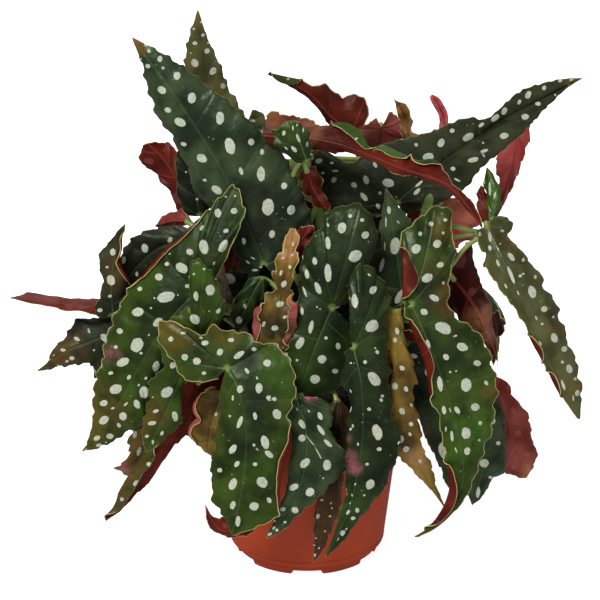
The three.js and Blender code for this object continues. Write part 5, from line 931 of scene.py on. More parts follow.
def roll_lips(half, swell, width, normal):
    """Rolls the margin over where it has lips: a tight fold, then a strip that lies back."""
    last = half["points"][:, -1]
    margin = unit(np.gradient(eased(last, MARGIN_EASE), axis=0))
    out = unit(half["row"])
    out = unit(out - margin * (out * margin).sum(axis=1, keepdims=True) * LIP_SQUARE)
    across = np.cross(margin, out)
    normal = unit(across * np.sign((across * normal).sum(axis=1, keepdims=True)))
    strides = [np.minimum(width, FOLD_LENGTH) / FOLD_STEPS] * FOLD_STEPS
    strides += [np.maximum(width - FOLD_LENGTH, FLAT_LEAST) / FLAT_STEPS] * FLAT_STEPS
    blade = half["points"].reshape(-1, 3)
    added = []
    for c, stride in enumerate(strides):
        angle = (LIP_ROLL * swell * min((c + 0.5) / FOLD_STEPS, 1))[:, None]
        last = last + stride[:, None] * (out * np.cos(angle) + normal * np.sin(angle))
        below = blade[np.linalg.norm(last[:, None] - blade, axis=2).argmin(axis=1)]
        push = ((below - last) * normal).sum(axis=1) + LIP_GAP
        push = np.where(c < FOLD_STEPS, 0, push.clip(0)) * swell
        added.append(last + eased(normal * push[:, None], PUSH_EASE))
    half["points"] = np.concatenate([half["points"], np.stack(added, axis=1)], axis=1)
    extra = np.cumsum(np.stack(strides, axis=1), axis=1)
    half["across"] = np.concatenate([half["across"], half["across"][:, -1:] + extra], axis=1)
    half["inside"] = np.concatenate([half["inside"] + width[:, None], width[:, None] - extra],
                                    axis=1)


def blade_mesh(name, halves, front):
    """The mid-surface as a mesh, with each point's distances to the margin, rib and veins."""
    points, inside, across, nearest_vein, numbers = [], [], [], [], []
    for half in halves:
        grid, fan = half["points"], half["fan"]
        number = np.full(grid.shape[:2], -1)
        if half["side"] == 0:
            rib_ids = np.arange(len(grid) - fan)
            points.extend(grid[fan:, 0])
            across.extend(half["across"][fan:, 0])
            inside.extend(half["inside"][fan:, 0])
            nearest_vein.extend(np.full(len(rib_ids), FAR))
        number[:fan, 0] = 0
        number[fan:, 0] = rib_ids
        number[-1] = rib_ids[-1]
        step = np.linalg.norm(np.gradient(grid, axis=0), axis=2)
        spacing = step / np.gradient(half["veins"])[:, None]
        away = np.abs(half["veins"] - np.round(half["veins"]))[:, None] * spacing
        body = grid[:-1, 1:]
        new = np.arange(body.shape[0] * body.shape[1]).reshape(body.shape[:2])
        number[:-1, 1:] = len(points) + new
        points.extend(body.reshape(-1, 3))
        across.extend(half["across"][:-1, 1:].ravel())
        inside.extend(half["inside"][:-1, 1:].ravel())
        nearest_vein.extend(away[:-1, 1:].ravel())
        numbers.append(number)
    faces = []
    for half, number in zip(halves, numbers):
        flip = (half["side"] == 1) != (front < 0)
        for here, after in zip(number, number[1:]):
            for c in range(number.shape[1] - 1):
                ring = []
                for corner in (here[c], here[c + 1], after[c + 1], after[c]):
                    if corner not in ring:
                        ring.append(int(corner))
                if len(ring) > 2:
                    faces.append(ring[::-1] if flip else ring)
    points = np.array(points)
    mesh = bpy.data.meshes.new(name)
    mesh.from_pydata((points * MM).tolist(), [], faces)
    corners = np.empty(len(mesh.loops), int)
    mesh.loops.foreach_get("vertex_index", corners)
    from_base = np.linalg.norm(points - points[0], axis=1)
    write_map(mesh, "veins", np.stack([nearest_vein, across], axis=1)[corners])
    write_map(mesh, "blade", np.stack([inside, from_base], axis=1)[corners])
    return mesh, points, corners


def write_map(mesh, name, values):
    layer = mesh.uv_layers.new(name=name)
    layer.data.foreach_set("uv", np.ascontiguousarray(values, dtype=np.float32).ravel())


def grown_spots(halves, amount, seed):
    """Spots between the veins: a middle, the way that it is drawn out, and two sizes."""
    draw = random.Random(seed)
    field = []
    for half in halves:
        way, inside, across = unit(half["row"]), half["inside"], half["across"]
        for j in range(2, len(half["q"]) - 2):
            for c in range(2, half["points"].shape[1] - 1):
                if inside[j, c] > SPOT_FROM_MARGIN and across[j, c] > SPOT_FROM_RIB:
                    field.append((half["points"][j, c], way[j], inside[j, c], half["q"][j]))
    spots = []
    for low, high, gap, tries in SPOT_SORTS:
        for _ in range(int(tries * amount)):
            if not field:
                break
            middle, way, inside, q = field[draw.randrange(len(field))]
            tip = max(0, q - TIP_START)
            size = draw.uniform(low, high) * (1 - TIP_SIZE * tip / TIP_LENGTH)
            room = gap * (1 - TIP_GAP * tip / TIP_LENGTH)
            if size > inside * SPOT_TO_MARGIN:
                continue
            if all(np.linalg.norm(middle - s[0]) > room / 2 + s[4] for s in spots):
                long = size * draw.uniform(*SPOT_LENGTHS)
                spots.append((middle, way, long, size, size + room / 2))
    return [spot[:4] for spot in spots]


def paint_spots(mesh, points, corners, spots, drawn):
    """Gives each face its place in its nearest spot, in which the spot is a circle of radius 1."""
    if not spots and not drawn:
        write_map(mesh, "spots", np.full((len(corners), 2), FAR))
        return
    normals = np.empty(len(mesh.vertices) * 3)
    mesh.vertices.foreach_get("normal", normals)
    normals = normals.reshape(-1, 3)
    local = []
    for middle, way, long, short in spots:
        away = points - middle
        normal = normals[int(np.argmin(np.linalg.norm(away, axis=1)))]
        side = unit(np.cross(normal, way))
        along = unit(np.cross(side, normal))
        local.append(np.stack([away @ along / long, away @ side / short], axis=1))
    view = seen(points)
    for u, v, long, *rest in drawn:
        short, angle = rest or (long, 0)
        cos, sin = math.cos(math.radians(angle)), math.sin(math.radians(angle))
        away = view - [u, v]
        x = (away[:, 0] * cos - away[:, 1] * sin) * 2 / long
        y = (away[:, 0] * sin + away[:, 1] * cos) * 2 / short
        local.append(np.stack([x, y], axis=1))
    starts, totals = np.empty((2, len(mesh.polygons)), int)
    mesh.polygons.foreach_get("loop_start", starts)
    mesh.polygons.foreach_get("loop_total", totals)
    local = np.array(local)[:, corners]
    middle = np.stack([np.add.reduceat(one, starts, axis=0) / totals[:, None] for one in local])
    chosen = np.argmin(np.linalg.norm(middle, axis=2), axis=0)
    values = local[np.repeat(chosen, totals), np.arange(len(corners))]
    write_map(mesh, "spots", values.clip(-FAR, FAR))


def mark_patches(mesh, name, points):
    """Marks each patch of a leaf's colour, painted shade and painted highlights among them, as
    shares from 0 to 1.
    """
    view = seen(points)
    for key, patches in PATCHES.items():
        amount = np.zeros(len(points))
        for u, v, radius, most in patches.get(name, []):
            away = np.linalg.norm(view - [u, v], axis=1) / radius
            amount = np.maximum(amount, most * (1 - away ** 2).clip(0))
        attribute = mesh.attributes.new(key, "FLOAT", "POINT")
        attribute.data.foreach_set("value", amount.astype(np.float32))


# Blender helpers

def pick(*objects):
    """Selects only these objects; the last one is active."""
    bpy.ops.object.select_all(action="DESELECT")
    for thing in objects:
        thing.select_set(True)
    bpy.context.view_layer.objects.active = objects[-1]


def finish_with(piece, kind, **settings):
    """Adds a modifier to a piece and applies it."""
    pick(piece)
    bpy.ops.object.modifier_add(type=kind)
    modifier = piece.modifiers[-1]
    for key, value in settings.items():
        setattr(modifier, key, value)
    bpy.ops.object.modifier_apply(modifier=modifier.name)


def new_piece(name, mesh, *materials):
    """A piece in the scene, with its mesh or curve and its materials."""
    piece = bpy.data.objects.new(name, mesh)
    bpy.context.scene.collection.objects.link(piece)
    for material in materials:
        mesh.materials.append(material)
    return piece


def basic_shape(add, **settings):
    """One of Blender's own shapes, by the operator that adds it."""
    bpy.ops.object.select_all(action="DESELECT")
    add(**settings)
    return bpy.context.object


def joined(piece, others):
    """Joins other objects to a piece."""
    pick(*others, piece)
    bpy.ops.object.join()


def smoothed(piece):
    """Shades a piece smooth all over."""
    pick(piece)
    bpy.ops.object.shade_smooth()


def clad(piece, material):
    """Gives a piece one material."""
    piece.data.materials.clear()
    piece.data.materials.append(material)


def hand_over(piece, slot, *nodes):
    """Puts a finished piece under the root body and hides the imported parts that it stands for.
    Its finish, slot, is not used.
    """
    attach(piece, "root")
    if nodes:
        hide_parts(*nodes)


# Materials

class Value:
    """A socket of a material's nodes; an expression on it adds the nodes that work it out."""

    def __init__(self, look, socket):
        self.look = look
        self.socket = socket

    def math(self, operation, other):
        return self.look.node("ShaderNodeMath", {"operation": operation}, {0: self, 1: other})

    def __add__(self, other):
        return self.math("ADD", other)

    def __sub__(self, other):
        return self.math("SUBTRACT", other)

    def __mul__(self, other):
        return self.math("MULTIPLY", other)

    def __pow__(self, other):
        return self.math("POWER", other)

    __radd__, __rmul__ = __add__, __mul__

    def most(self, other):
        return self.math("MAXIMUM", other)

    def step(self, start, end):
        """Goes smoothly from 0 at start to 1 at end."""
        return self.look.node("ShaderNodeMapRange", {"interpolation_type": "SMOOTHSTEP"},
                              {"Value": self, "From Min": start, "From Max": end})


def socket_name(key):
    """The name on a socket of the shader, from the name of a keyword."""
    return key.replace("_", " ").title().replace("Ior", "IOR")


class Look:
    """A material, built node by node."""

    def __init__(self, name, **uniform):
        self.material = bpy.data.materials.new(name)
        self.material.use_nodes = True
        self.nodes = self.material.node_tree.nodes
        self.links = self.material.node_tree.links
        self.nodes.clear()
        self.shader = self.nodes.new("ShaderNodeBsdfPrincipled")
        output = self.nodes.new("ShaderNodeOutputMaterial")
        self.links.new(self.shader.outputs[0], output.inputs["Surface"])
        self.done(**uniform)

    def put(self, socket, value):
        """Sets a socket to a colour or number, or links it to a value."""
        if isinstance(value, Value):
            self.links.new(value.socket, socket)
        elif socket.type == "RGBA":
            socket.default_value = (*value[:3], 1.0)
        else:
            socket.default_value = value

    def node(self, kind, settings=None, values=None, out=0):
        node = self.nodes.new(kind)
        for key, value in (settings or {}).items():
            setattr(node, key, value)
        for key, value in (values or {}).items():
            self.put(node.inputs[key], value)
        return Value(self, node.outputs[out])

    def place(self):
        return self.node("ShaderNodeTexCoord", out="Object")

    def parts(self, value, *outs):
        """Some of a vector's three numbers."""
        return [self.node("ShaderNodeSeparateXYZ", {}, {0: value}, out) for out in outs]

    def map(self, name):
        """The two numbers of one of the piece's own maps."""
        return self.parts(self.node("ShaderNodeUVMap", {"uv_map": name}), 0, 1)

    def share(self, name):
        """One of the piece's shares by point."""
        return self.node("ShaderNodeAttribute", {"attribute_name": name}, out="Fac")

    def noise(self, size, detail=3.0, rough=0.5, stretch=None):
        """Noise whose lumps are about this many millimetres."""
        where = self.place()
        if stretch:
            where = self.node("ShaderNodeMapping", {}, {0: where, "Scale": stretch})
        return self.node("ShaderNodeTexNoise", {}, {"Vector": where, "Scale": 1 / MM / size,
                                                    "Detail": detail, "Roughness": rough})

    def cells(self, size):
        """The distance to the middle of a cell; cells are about this many millimetres."""
        return self.node("ShaderNodeTexVoronoi", {},
                         {"Vector": self.place(), "Scale": 1 / MM / size}, "Distance")

    def mix(self, first, second, share):
        """A colour between two, by a share from 0 to 1."""
        return self.node("ShaderNodeMix", {"data_type": "RGBA"},
                         {0: share, 6: first, 7: second}, 2)

    def bump(self, height, depth, before=None):
        """A relief of height times depth millimetres."""
        values = {"Height": height, "Distance": depth * MM, "Strength": 1.0}
        if before:
            values["Normal"] = before
        return self.node("ShaderNodeBump", {}, values)

    def done(self, **sockets):
        """Sets sockets of the shader, by name."""
        for key, value in sockets.items():
            self.put(self.shader.inputs[socket_name(key)], value)
        return self.material


def with_patches(look, looks, color, kinds):
    """A leaf's colour with its patches: its own lighter, golden, pale and pink colours, and painted
    shade, sheen and highlights.
    """
    for kind in kinds:
        first, second = getattr(looks, kind), getattr(looks, kind + "_spent")
        patch = look.mix(first, second, look.noise(6).step(0.4, 0.7))
        color = look.mix(color, patch, look.share(kind) * look.noise(8, 4).step(0.25, 0.55))
    return color


def spot_reach(look, uneven):
    """How far a place is from the middle of its spot, whose uneven edge is at about 1."""
    x, y = look.map("spots")
    return (x * x + y * y) ** 0.5 + (look.noise(2.2, 2) - 0.5) * uneven


def upper_look(name, looks, deep, light):
    """The spotted upper face of a leaf."""
    look = Look(name, specular_ior_level=0.23, specular_tint=(0.88, 1, 0.8))
    edge, base = look.map("blade")
    vein, rib = look.map("veins")
    grain = look.noise(1.3, 2)
    color = look.mix(deep, light, look.noise(18, 3).step(0.35, 0.68))
    color = look.mix(color, light, edge.step(*LIGHT_MARGIN) * 0.45)
    near_base = base.step(*BRIGHT_BASE)
    vein_line = vein.step(*VEIN_EDGE) * (0.11 + 0.3 * near_base)
    rib_line = rib.step(*RIB_EDGE) * (0.22 + 0.45 * near_base)
    color = look.mix(color, looks.vein, vein_line.most(rib_line))
    # The patches add painted shade, painted sheen and painted highlights to the leaf's own colours
    color = with_patches(look, looks, color, PATCHES)
    color = look.mix(color, looks.star, base.step(*STAR_EDGE) * 0.75)
    spot = spot_reach(look, 0.34).step(*SPOT_EDGE)
    fleck = look.mix(looks.spot, looks.spot_shade, grain.step(0.42, 0.7) * 0.55)
    specks = look.cells(4.5).step(0.1, 0.06) * look.noise(13, 2).step(0.46, 0.6)
    color = look.mix(color, fleck, spot.most(specks * 0.55))
    color = look.mix(color, looks.rim, edge.step(*RIM_EDGE) * 0.5)
    # Where shade is painted, the face is also made matt
    rough = 0.3 + 0.1 * grain + 0.1 * spot + 0.4 * look.share("shade")
    relief = look.bump(look.cells(0.7), 0.05)
    relief = look.bump(look.noise(7, 2), 0.9, relief)
    relief = look.bump(vein.step(*GROOVE) * 0.6 + rib.step(*GROOVE), -GROOVE_DEPTH, relief)
    return look.done(base_color=color, roughness=rough, normal=relief)


def under_look(name, looks, deep, light):
    """The crimson face of a leaf, with its veins standing proud."""
    look = Look(name, specular_ior_level=0.13, specular_tint=(1, 0.75, 0.65))
    edge = look.map("blade")[0]
    vein, rib = look.map("veins")
    color = look.mix(deep, light, look.noise(14, 4).step(0.33, 0.7))
    color = look.mix(color, looks.pale_under, spot_reach(look, 0.4).step(*UNDER_SPOT_EDGE) * 0.22)
    lines = (vein.step(*UNDER_VEIN_EDGE) * 0.35).most(rib.step(*UNDER_RIB_EDGE) * 0.6)
    color = look.mix(color, looks.under_vein, lines)
    # Painted shade, and pale patches that are partly painted highlights
    color = with_patches(look, looks, color, ("shade", "pale"))
    color = look.mix(color, looks.rim, edge.step(*UNDER_RIM_EDGE) * 0.6)
    relief = look.bump(look.cells(0.9), 0.06)
    relief = look.bump(look.noise(6, 2), 0.7, relief)
    relief = look.bump(vein.step(*VEIN_RIDGE) * 0.6 + rib.step(*RIB_RIDGE), RIDGE_HEIGHT, relief)
    return look.done(base_color=color, roughness=0.36 + 0.16 * look.noise(2, 2), normal=relief)


def rim_look(looks):
    """The thin pale edge round a leaf."""
    look = Look("leaf_rim")
    color = look.mix(looks.rim, looks.rim_red, look.noise(11, 3).step(0.54, 0.74))
    color = look.mix(color, looks.rim_green, look.noise(34, 2).step(0.44, 0.56))
    return look.done(base_color=color, roughness=0.45 + 0.1 * look.noise(1.5))


def stalk_look(looks):
    """The skin of a stalk, with fine grooves along it."""
    look = Look("stalk_green")
    color = look.mix(looks.stalk, looks.stalk_red, look.noise(16, 3).step(0.5, 0.75) * 0.6)
    color = look.mix(color, looks.star, look.noise(1.1, 2).step(0.55, 0.75) * 0.25)
    relief = look.bump(look.noise(0.8, 2, stretch=(1, 1, 0.15)), 0.12)
    return look.done(base_color=color, roughness=0.34 + 0.15 * look.noise(3), normal=relief)


def bark_look(looks):
    """The cracked bark of a cane, green towards its top."""
    look = Look("cane_bark")
    color = look.mix(looks.bark, looks.bark_pale, look.noise(3.5, 5, 0.65).step(0.42, 0.7))
    crack = look.noise(1.2, 4, 0.6, (1, 1, 0.35))
    color = look.mix(color, looks.bark_dark, crack.step(0.6, 0.42) * 0.6)
    height = look.parts(look.place(), 2)[0]
    color = look.mix(color, looks.bark_young, height.step(*YOUNG_BARK))
    relief = look.bump(crack, 0.4)
    return look.done(base_color=color, roughness=0.62 + 0.2 * crack, normal=relief)


def soil_look(looks):
    """Dark potting soil with pale grit."""
    look = Look("potting_soil")
    color = look.mix(looks.soil_dark, looks.soil, look.noise(4, 6, 0.7).step(0.38, 0.66))
    color = look.mix(color, looks.soil_pale, look.cells(2.6).step(0.24, 0.16) * 0.5)
    relief = look.bump(look.noise(1.6, 6, 0.7), 1.1)
    return look.done(base_color=color, roughness=0.85 + 0.1 * look.noise(3), normal=relief)


def plastic_look(looks):
    """Matt terracotta-coloured plastic, a little scuffed."""
    look = Look("pot_plastic", specular_ior_level=0.2)
    color = look.mix(looks.plastic, looks.plastic_worn, look.noise(26, 4).step(0.4, 0.75) * 0.5)
    scuff = look.noise(5, 6, 0.62, (1, 1, 0.25)).step(0.66, 0.78)
    color = look.mix(color, looks.plastic_scuff, scuff * 0.14)
    relief = look.bump(look.noise(0.55, 2), 0.03)
    rough = 0.44 + 0.1 * look.noise(9, 3) + 0.12 * scuff
    return look.done(base_color=color, roughness=rough, normal=relief)


# What a user would change

def paint(code):
    """A colour given as its red, green and blue in two hexadecimal digits each."""
    shares = [int(code[i:i + 2], 16) / 255 for i in (0, 2, 4)]
    return tuple(s / 12.92 if s < 0.04045 else ((s + 0.055) / 1.055) ** 2.4 for s in shares)


def color_of(label, code):
    """A colour that a user can change."""
    return FloatVectorProperty(name=label, description=f"The colour of: {label.lower()}",
                               subtype="COLOR", size=3, min=0, max=1, default=paint(code))


class LeafLooks(PropertyGroup):
    """Thickness, spots and colours of the leaves."""
    thickness: FloatProperty(name="Thickness", description="Thickness of a blade in millimetres",
                             default=0.5, min=0.3, max=2)
    spots: FloatProperty(name="Spots", description="How thickly the spots are sown",
                         default=1.0, min=0, max=3)
    row_step: FloatProperty(name="Row step", default=1.35, min=0.5, max=6,
                            description="Millimetres from one row of faces to the next")
    columns: IntProperty(name="Columns", description="Faces from the rib to the margin",
                         default=14, min=4, max=30)
    dark: color_of("Dark leaf", "0d1707")
    dark_light: color_of("Dark leaf, light", "202d0f")
    dusky: color_of("Dusky leaf", "141709")
    dusky_light: color_of("Dusky leaf, light", "2c2e1a")
    green: color_of("Green leaf", "111d04")
    green_light: color_of("Green leaf, light", "2c3c0b")
    olive: color_of("Olive leaf", "2b2b15")
    olive_light: color_of("Olive leaf, light", "484a29")
    old: color_of("Old golden leaf", "38250a")
    old_light: color_of("Old golden leaf, light", "66501a")
    red: color_of("Underside", "3c0c07")
    red_light: color_of("Underside, light", "56190e")
    pink: color_of("Pale underside", "733630")
    pink_light: color_of("Pale underside, light", "8c4c46")
    maroon: color_of("Underside in the shade", "250a08")
    brown: color_of("Brown leaf", "1d1009")
    brown_light: color_of("Brown leaf, light", "3b2314")
    rose: color_of("Sunlit underside", "9a3236")
    rose_light: color_of("Sunlit underside, light", "c06064")
    spot: color_of("Spot", "9a9f8f")
    spot_shade: color_of("Spot, shaded", "737869")
    vein: color_of("Vein", "46603a")
    under_vein: color_of("Vein of the underside", "6a2c26")
    pale_under: color_of("Spot seen from below", "85524a")
    rim: color_of("Margin", "b0a06c")
    rim_red: color_of("Margin, red", "96684e")
    rim_green: color_of("Margin, green", "7f8c48")
    cool: color_of("Cool green leaf", "141f12")
    cool_light: color_of("Cool green leaf, light", "303d24")
    star: color_of("Star at the stalk", "6f7d3c")
    # Painted shade: the near-black green of the shade patches and of the shaded tone
    shade: color_of("Dark patch", "080d06")
    shade_spent: color_of("Dark patch, light", "10170c")
    # Lighter green patch, also used as painted sheen
    green_and_sheen: color_of("Fresh green patch", "2e490e")
    green_and_sheen_spent: color_of("Fresh green patch, light", "3c5715")
    golden: color_of("Golden patch", "5c4312")
    golden_spent: color_of("Golden patch, amber", "5a2f12")
    # Pale patch: pale leaf colour, and painted highlights
    pale: color_of("Pale dry patch", "a8784a")
    pale_spent: color_of("Pale dry patch, pink", "b07a68")
    blush: color_of("Pink blemish", "66343c")
    blush_spent: color_of("Pink blemish, light", "984a5e")
    stalk: color_of("Stalk", "6f8440")
    stalk_red: color_of("Stalk, reddish", "74503a")


class PotLooks(PropertyGroup):
    """Sizes and colours of the pot, its soil and the canes."""
    height: FloatProperty(name="Height", description="Height of the pot in millimetres",
                          default=105, min=40, max=300)
    rim_radius: FloatProperty(name="Rim radius", default=60, min=20, max=200,
                              description="Radius of the pot's rim in millimetres")
    crumbs: IntProperty(name="Crumbs", description="Lumps of bark and grit on the soil",
                        default=260, min=0, max=1000)
    plastic: color_of("Pot", "852905")
    plastic_worn: color_of("Pot, worn", "90300b")
    plastic_scuff: color_of("Pot, scuffed", "b87e68")
    soil: color_of("Soil", "33231a")
    soil_dark: color_of("Soil, dark", "17100c")
    soil_pale: color_of("Grit", "6f5f4e")
    bark: color_of("Cane", "6b5a44")
    bark_pale: color_of("Cane, pale", "9a8a70")
    bark_dark: color_of("Cane, dark", "3c2e22")
    bark_young: color_of("Cane, young", "647a38")


class StageLooks(PropertyGroup):
    """The floor and the light."""
    floor: color_of("Floor", "d0d0d0")
    key: FloatProperty(name="Key light", description="Strength of the large soft light, in W/m2",
                       default=4.0, min=0, max=1000)
    fill: FloatProperty(name="Fill light", description="Strength of the light opposite, in W/m2",
                        default=0.5, min=0, max=1000)
    sky: FloatProperty(name="Surroundings", description="Strength of the light from all round",
                       default=0.2, min=0, max=10)
    glow: FloatProperty(name="Floor glow", description="Light given by the floor itself",
                        default=1.35, min=0, max=10)


# The colours of each tone of leaf: the deep and the light one
TONES = {
    "dark": ("dark", "dark_light"),
    "cool": ("cool", "cool_light"),
    # Painted shade: near black
    "shaded": ("shade", "dark"),
    "dusky": ("dusky", "dusky_light"),
    "green": ("green", "green_light"),
    "olive": ("olive", "olive_light"),
    "golden": ("old", "old_light"),
    "red": ("red", "red_light"),
    "pink": ("pink", "pink_light"),
    "rose": ("rose", "rose_light"),
    "crimson": ("red_light", "pink"),
    "wine": ("pink", "rose"),
    "orange": ("golden_spent", "golden"),
    "maroon": ("maroon", "red"),
    "brown": ("brown", "brown_light"),
}

# Where each leaf's stalk meets it, filled in as the leaves are made
seats = {}


def leaf_material(face, tone):
    """The material of one face of the leaves of a tone, made when it is first asked for."""
    looks = bpy.context.scene.leaf_looks
    name = f"leaf_{face}_{tone}"
    found = bpy.data.materials.get(name)
    if found:
        return found
    if face == "rim":
        return rim_look(looks)
    deep, light = (getattr(looks, key) for key in TONES[tone])
    return (upper_look if face == "upper" else under_look)(name, looks, deep, light)


def seat_of(leaf, mesh, rib, fine):
    """Where a stalk meets a leaf: the place, the way out of its face, and the way of the rib."""
    normals = [np.array(mesh.vertices[i].normal) for i in (0, fine)]
    normal = unit(normals[0] + normals[1])
    if normal @ leaf.get("outward", VIEW_BACK) < 0:
        normal = -normal
    if leaf["shows"] == "under" and leaf.get("held") != "behind":
        normal = -normal
    near, next_on = rib.at([0, float(rib_share(1 / coarse_rows(rib), 0))])
    return {"seat": (near + next_on) / 2, "normal": normal, "along": unit(next_on - near)}


def make_leaf(name, leaf, lines, seed):
    """A blade: its mid-surface is given its thickness, with a material for each face."""
    looks = bpy.context.scene.leaf_looks
    rib, sides = lines
    fine = max(LEAST_FINE, round(rib.length / coarse_rows(rib) / looks.row_step))
    halves, front = blade_halves(leaf, rib, sides, fine, looks.columns, seed)
    title = name.replace("leaf", "blade")
    mesh, points, corners = blade_mesh(title, halves, front)
    drawn = SPOTS.get(name, [])
    grown = [] if drawn else grown_spots(halves, looks.spots, seed)
    paint_spots(mesh, points, corners, grown, drawn)
    mark_patches(mesh, name, points)
    seats[name] = seat_of(leaf, mesh, rib, fine)
    tone = leaf.get("look", leaf["tone"])
    if leaf.get("face", leaf["shows"]) == "upper":
        faces = [leaf_material("upper", tone), leaf_material("under", leaf.get("back", "red"))]
    else:
        faces = [leaf_material("under", tone), leaf_material("upper", "green")]
    piece = new_piece(title, mesh, *faces, leaf_material("rim", ""))
    finish_with(piece, "SOLIDIFY", thickness=looks.thickness * MM, offset=0, use_rim=True,
                material_offset=1, material_offset_rim=2)
    smoothed(piece)
    hand_over(piece, f"leaf_{leaf['tone']}", *([] if name in INNER_LEAVES else [name]))


def tube_of(name, points, radii, material, sides):
    """A round stalk or cane through points, closed at both ends, as a mesh."""
    curve = bpy.data.curves.new(name, "CURVE")
    curve.dimensions = "3D"
    curve.bevel_depth = MM
    curve.bevel_resolution = sides
    curve.use_fill_caps = True
    spline = curve.splines.new("POLY")
    spline.points.add(len(points) - 1)
    for spot, point, radius in zip(spline.points, points, radii):
        spot.co = (*(point * MM), 1)
        spot.radius = radius
    pick(new_piece(name, curve))
    bpy.ops.object.convert(target="MESH")
    tube = bpy.context.view_layer.objects.active
    clad(tube, material)
    return tube


def stalk_points(start, seat, leaf):
    """The way of a stalk, from its cane to the underside of its leaf."""
    way = unit(seat["normal"] + seat["along"] * leaf.get("slant", STALK_SLANT))
    end = seat["seat"] - seat["normal"] * STALK_GAP
    if "stalk" in leaf:
        points = [start, *(place(*p) for p in leaf["stalk"]), end - way * STALK_END, end]
    else:
        reach = np.linalg.norm(end - start)
        rise = unit(unit(end - start) + [0, 0, STALK_RISE])
        first, second = start + rise * reach * STALK_BEND, end - way * reach * STALK_BEND
        points = [start * (1 - t) ** 3 + first * 3 * t * (1 - t) ** 2 + second * 3 * t * t * (1 - t)
                  + end * t ** 3 for t in np.linspace(0, 1, BEND_POINTS)]
    return Line(points).at(np.linspace(0, 1, STALK_PARTS))


def holder_of(leaf, seat, lines):
    """The cane that holds a leaf, and at which share of its points: its own, or the nearest."""
    if "cane" in leaf:
        return leaf["cane"]
    ends = {key: float(np.linalg.norm(line.at(CANE_REACH)[0] - seat["seat"]))
            for key, line in lines.items()}
    share = (seat["seat"][2] - LOW_LEAF) / LEAF_RANGE
    return min(ends, key=ends.get), min(max(share, LEAST_SHARE), MOST_SHARE)


class BEGONIA_OT_leaves(Operator):
    """Make the leaves whose outlines are seen"""
    bl_idname = "begonia.leaves"
    bl_label = "Leaves"

    def execute(self, context):
        for seed, (name, leaf) in enumerate((LEAVES | INNER_LEAVES).items()):
            make_leaf(name, leaf, traced_lines(leaf), seed)
        return {"FINISHED"}


class BEGONIA_OT_back_leaves(Operator):
    """Make the leaves on the side turned away"""
    bl_idname = "begonia.back_leaves"
    bl_label = "Back leaves"

    def execute(self, context):
        for seed, (name, leaf) in enumerate(BACK_LEAVES.items()):
            x, y, _ = leaf["spine"][1]
            outward = unit(np.array([x, y, BACK_TILT]))
            full = {**leaf, "outward": outward, "shows": "upper", "tone": "green"}
            make_leaf(name, full, grown_lines(leaf), BACK_SEED + seed)
        return {"FINISHED"}


class BEGONIA_OT_canes(Operator):
    """Make the ringed canes, each with the leaf stalks that grow from it"""
    bl_idname = "begonia.canes"
    bl_label = "Canes and stalks"

    def execute(self, context):
        held = LEAVES | INNER_LEAVES | BACK_LEAVES
        if len(seats) < len(held):
            raise RuntimeError("The leaves are made before the canes that carry them")
        bark, green = bark_look(context.scene.pot_looks), stalk_look(context.scene.leaf_looks)
        lines = {name: Line(path) for name, path in CANES.items()}
        for name, line in lines.items():
            along = np.linspace(0, 1, CANE_PARTS)
            rings = np.abs((along * line.length / RING_STEP + RING_START) % 1 - 0.5) * 2
            radii = CANE_RADIUS + RING_HEIGHT * rings ** RING_SHARPNESS - CANE_TAPER * along
            radii[-len(CANE_TOP):] *= CANE_TOP
            title = name.replace("cane", "stem")
            cane = tube_of(title, line.at(along), radii, bark, CANE_SIDES)
            stalks = []
            for leaf_name, leaf in held.items():
                seat = seats[leaf_name]
                holder, share = holder_of(leaf, seat, lines)
                if holder != name:
                    continue
                count = len(line.points) - 1
                start = line.at(np.interp(share * count, range(count + 1), line.reached))[0]
                points = stalk_points(start, seat, leaf)
                t = np.linspace(0, 1, len(points))
                flare, cup = STALK_FLARE * (1 - t) ** FLARE_POWER, STALK_CUP * t ** CUP_POWER
                radii = STALK_RADIUS + flare + cup
                stalks.append(tube_of(f"stalk_{leaf_name}", points, radii, green, STALK_SIDES))
            joined(cane, stalks)
            smoothed(cane)
            hand_over(cane, "cane", name)
        return {"FINISHED"}


def spun(name, profile, steps):
    """A round piece: a profile of radius and height, turned about the upright axis."""
    mesh = bpy.data.meshes.new(name)
    mesh.from_pydata([(r * MM, 0, z * MM) for r, z in profile],
                     [(i, i + 1) for i in range(len(profile) - 1)], [])
    piece = new_piece(name, mesh)
    pick(piece)
    bpy.ops.object.mode_set(mode="EDIT")
    bpy.ops.mesh.select_all(action="SELECT")
    bpy.ops.mesh.spin(steps=steps, angle=2 * math.pi, center=(0, 0, 0), axis=(0, 0, 1))
    bpy.ops.mesh.select_all(action="SELECT")
    bpy.ops.mesh.remove_doubles(threshold=WELD * MM)
    bpy.ops.mesh.normals_make_consistent(inside=False)
    bpy.ops.object.mode_set(mode="OBJECT")
    return piece


def apply_place(piece):
    """Makes a piece's place, turn and size part of its mesh."""
    pick(piece)
    bpy.ops.object.transform_apply(location=True, rotation=True, scale=True)


def foot_cutters():
    """What is cut from the pot's foot: the notches in its edge, and a middle and outer holes."""
    cutters = []
    for i in range(NOTCHES):
        cutter = basic_shape(bpy.ops.mesh.primitive_cube_add, size=1,
                             location=[at * MM for at in NOTCH_PLACE])
        cutter.scale = [side * MM for side in NOTCH_SIZE]
        apply_place(cutter)
        for vertex in cutter.data.vertices:
            if vertex.co.z < 0:
                vertex.co.x *= NOTCH_FLARE
        cutter.rotation_euler.z = math.tau * i / NOTCHES
        apply_place(cutter)
        cutters.append(cutter)
    for i in range(HOLES + 1):
        reach, turn = (HOLE_REACH * MM if i else 0), math.tau * i / HOLES
        cutter = basic_shape(
            bpy.ops.mesh.primitive_cylinder_add, vertices=HOLE_SIDES,
            radius=HOLE_RADIUS * MM, depth=HOLE_DEPTH * MM,
            location=(reach * math.sin(turn), reach * math.cos(turn), HOLE_HEIGHT * MM))
        apply_place(cutter)
        cutters.append(cutter)
    return cutters


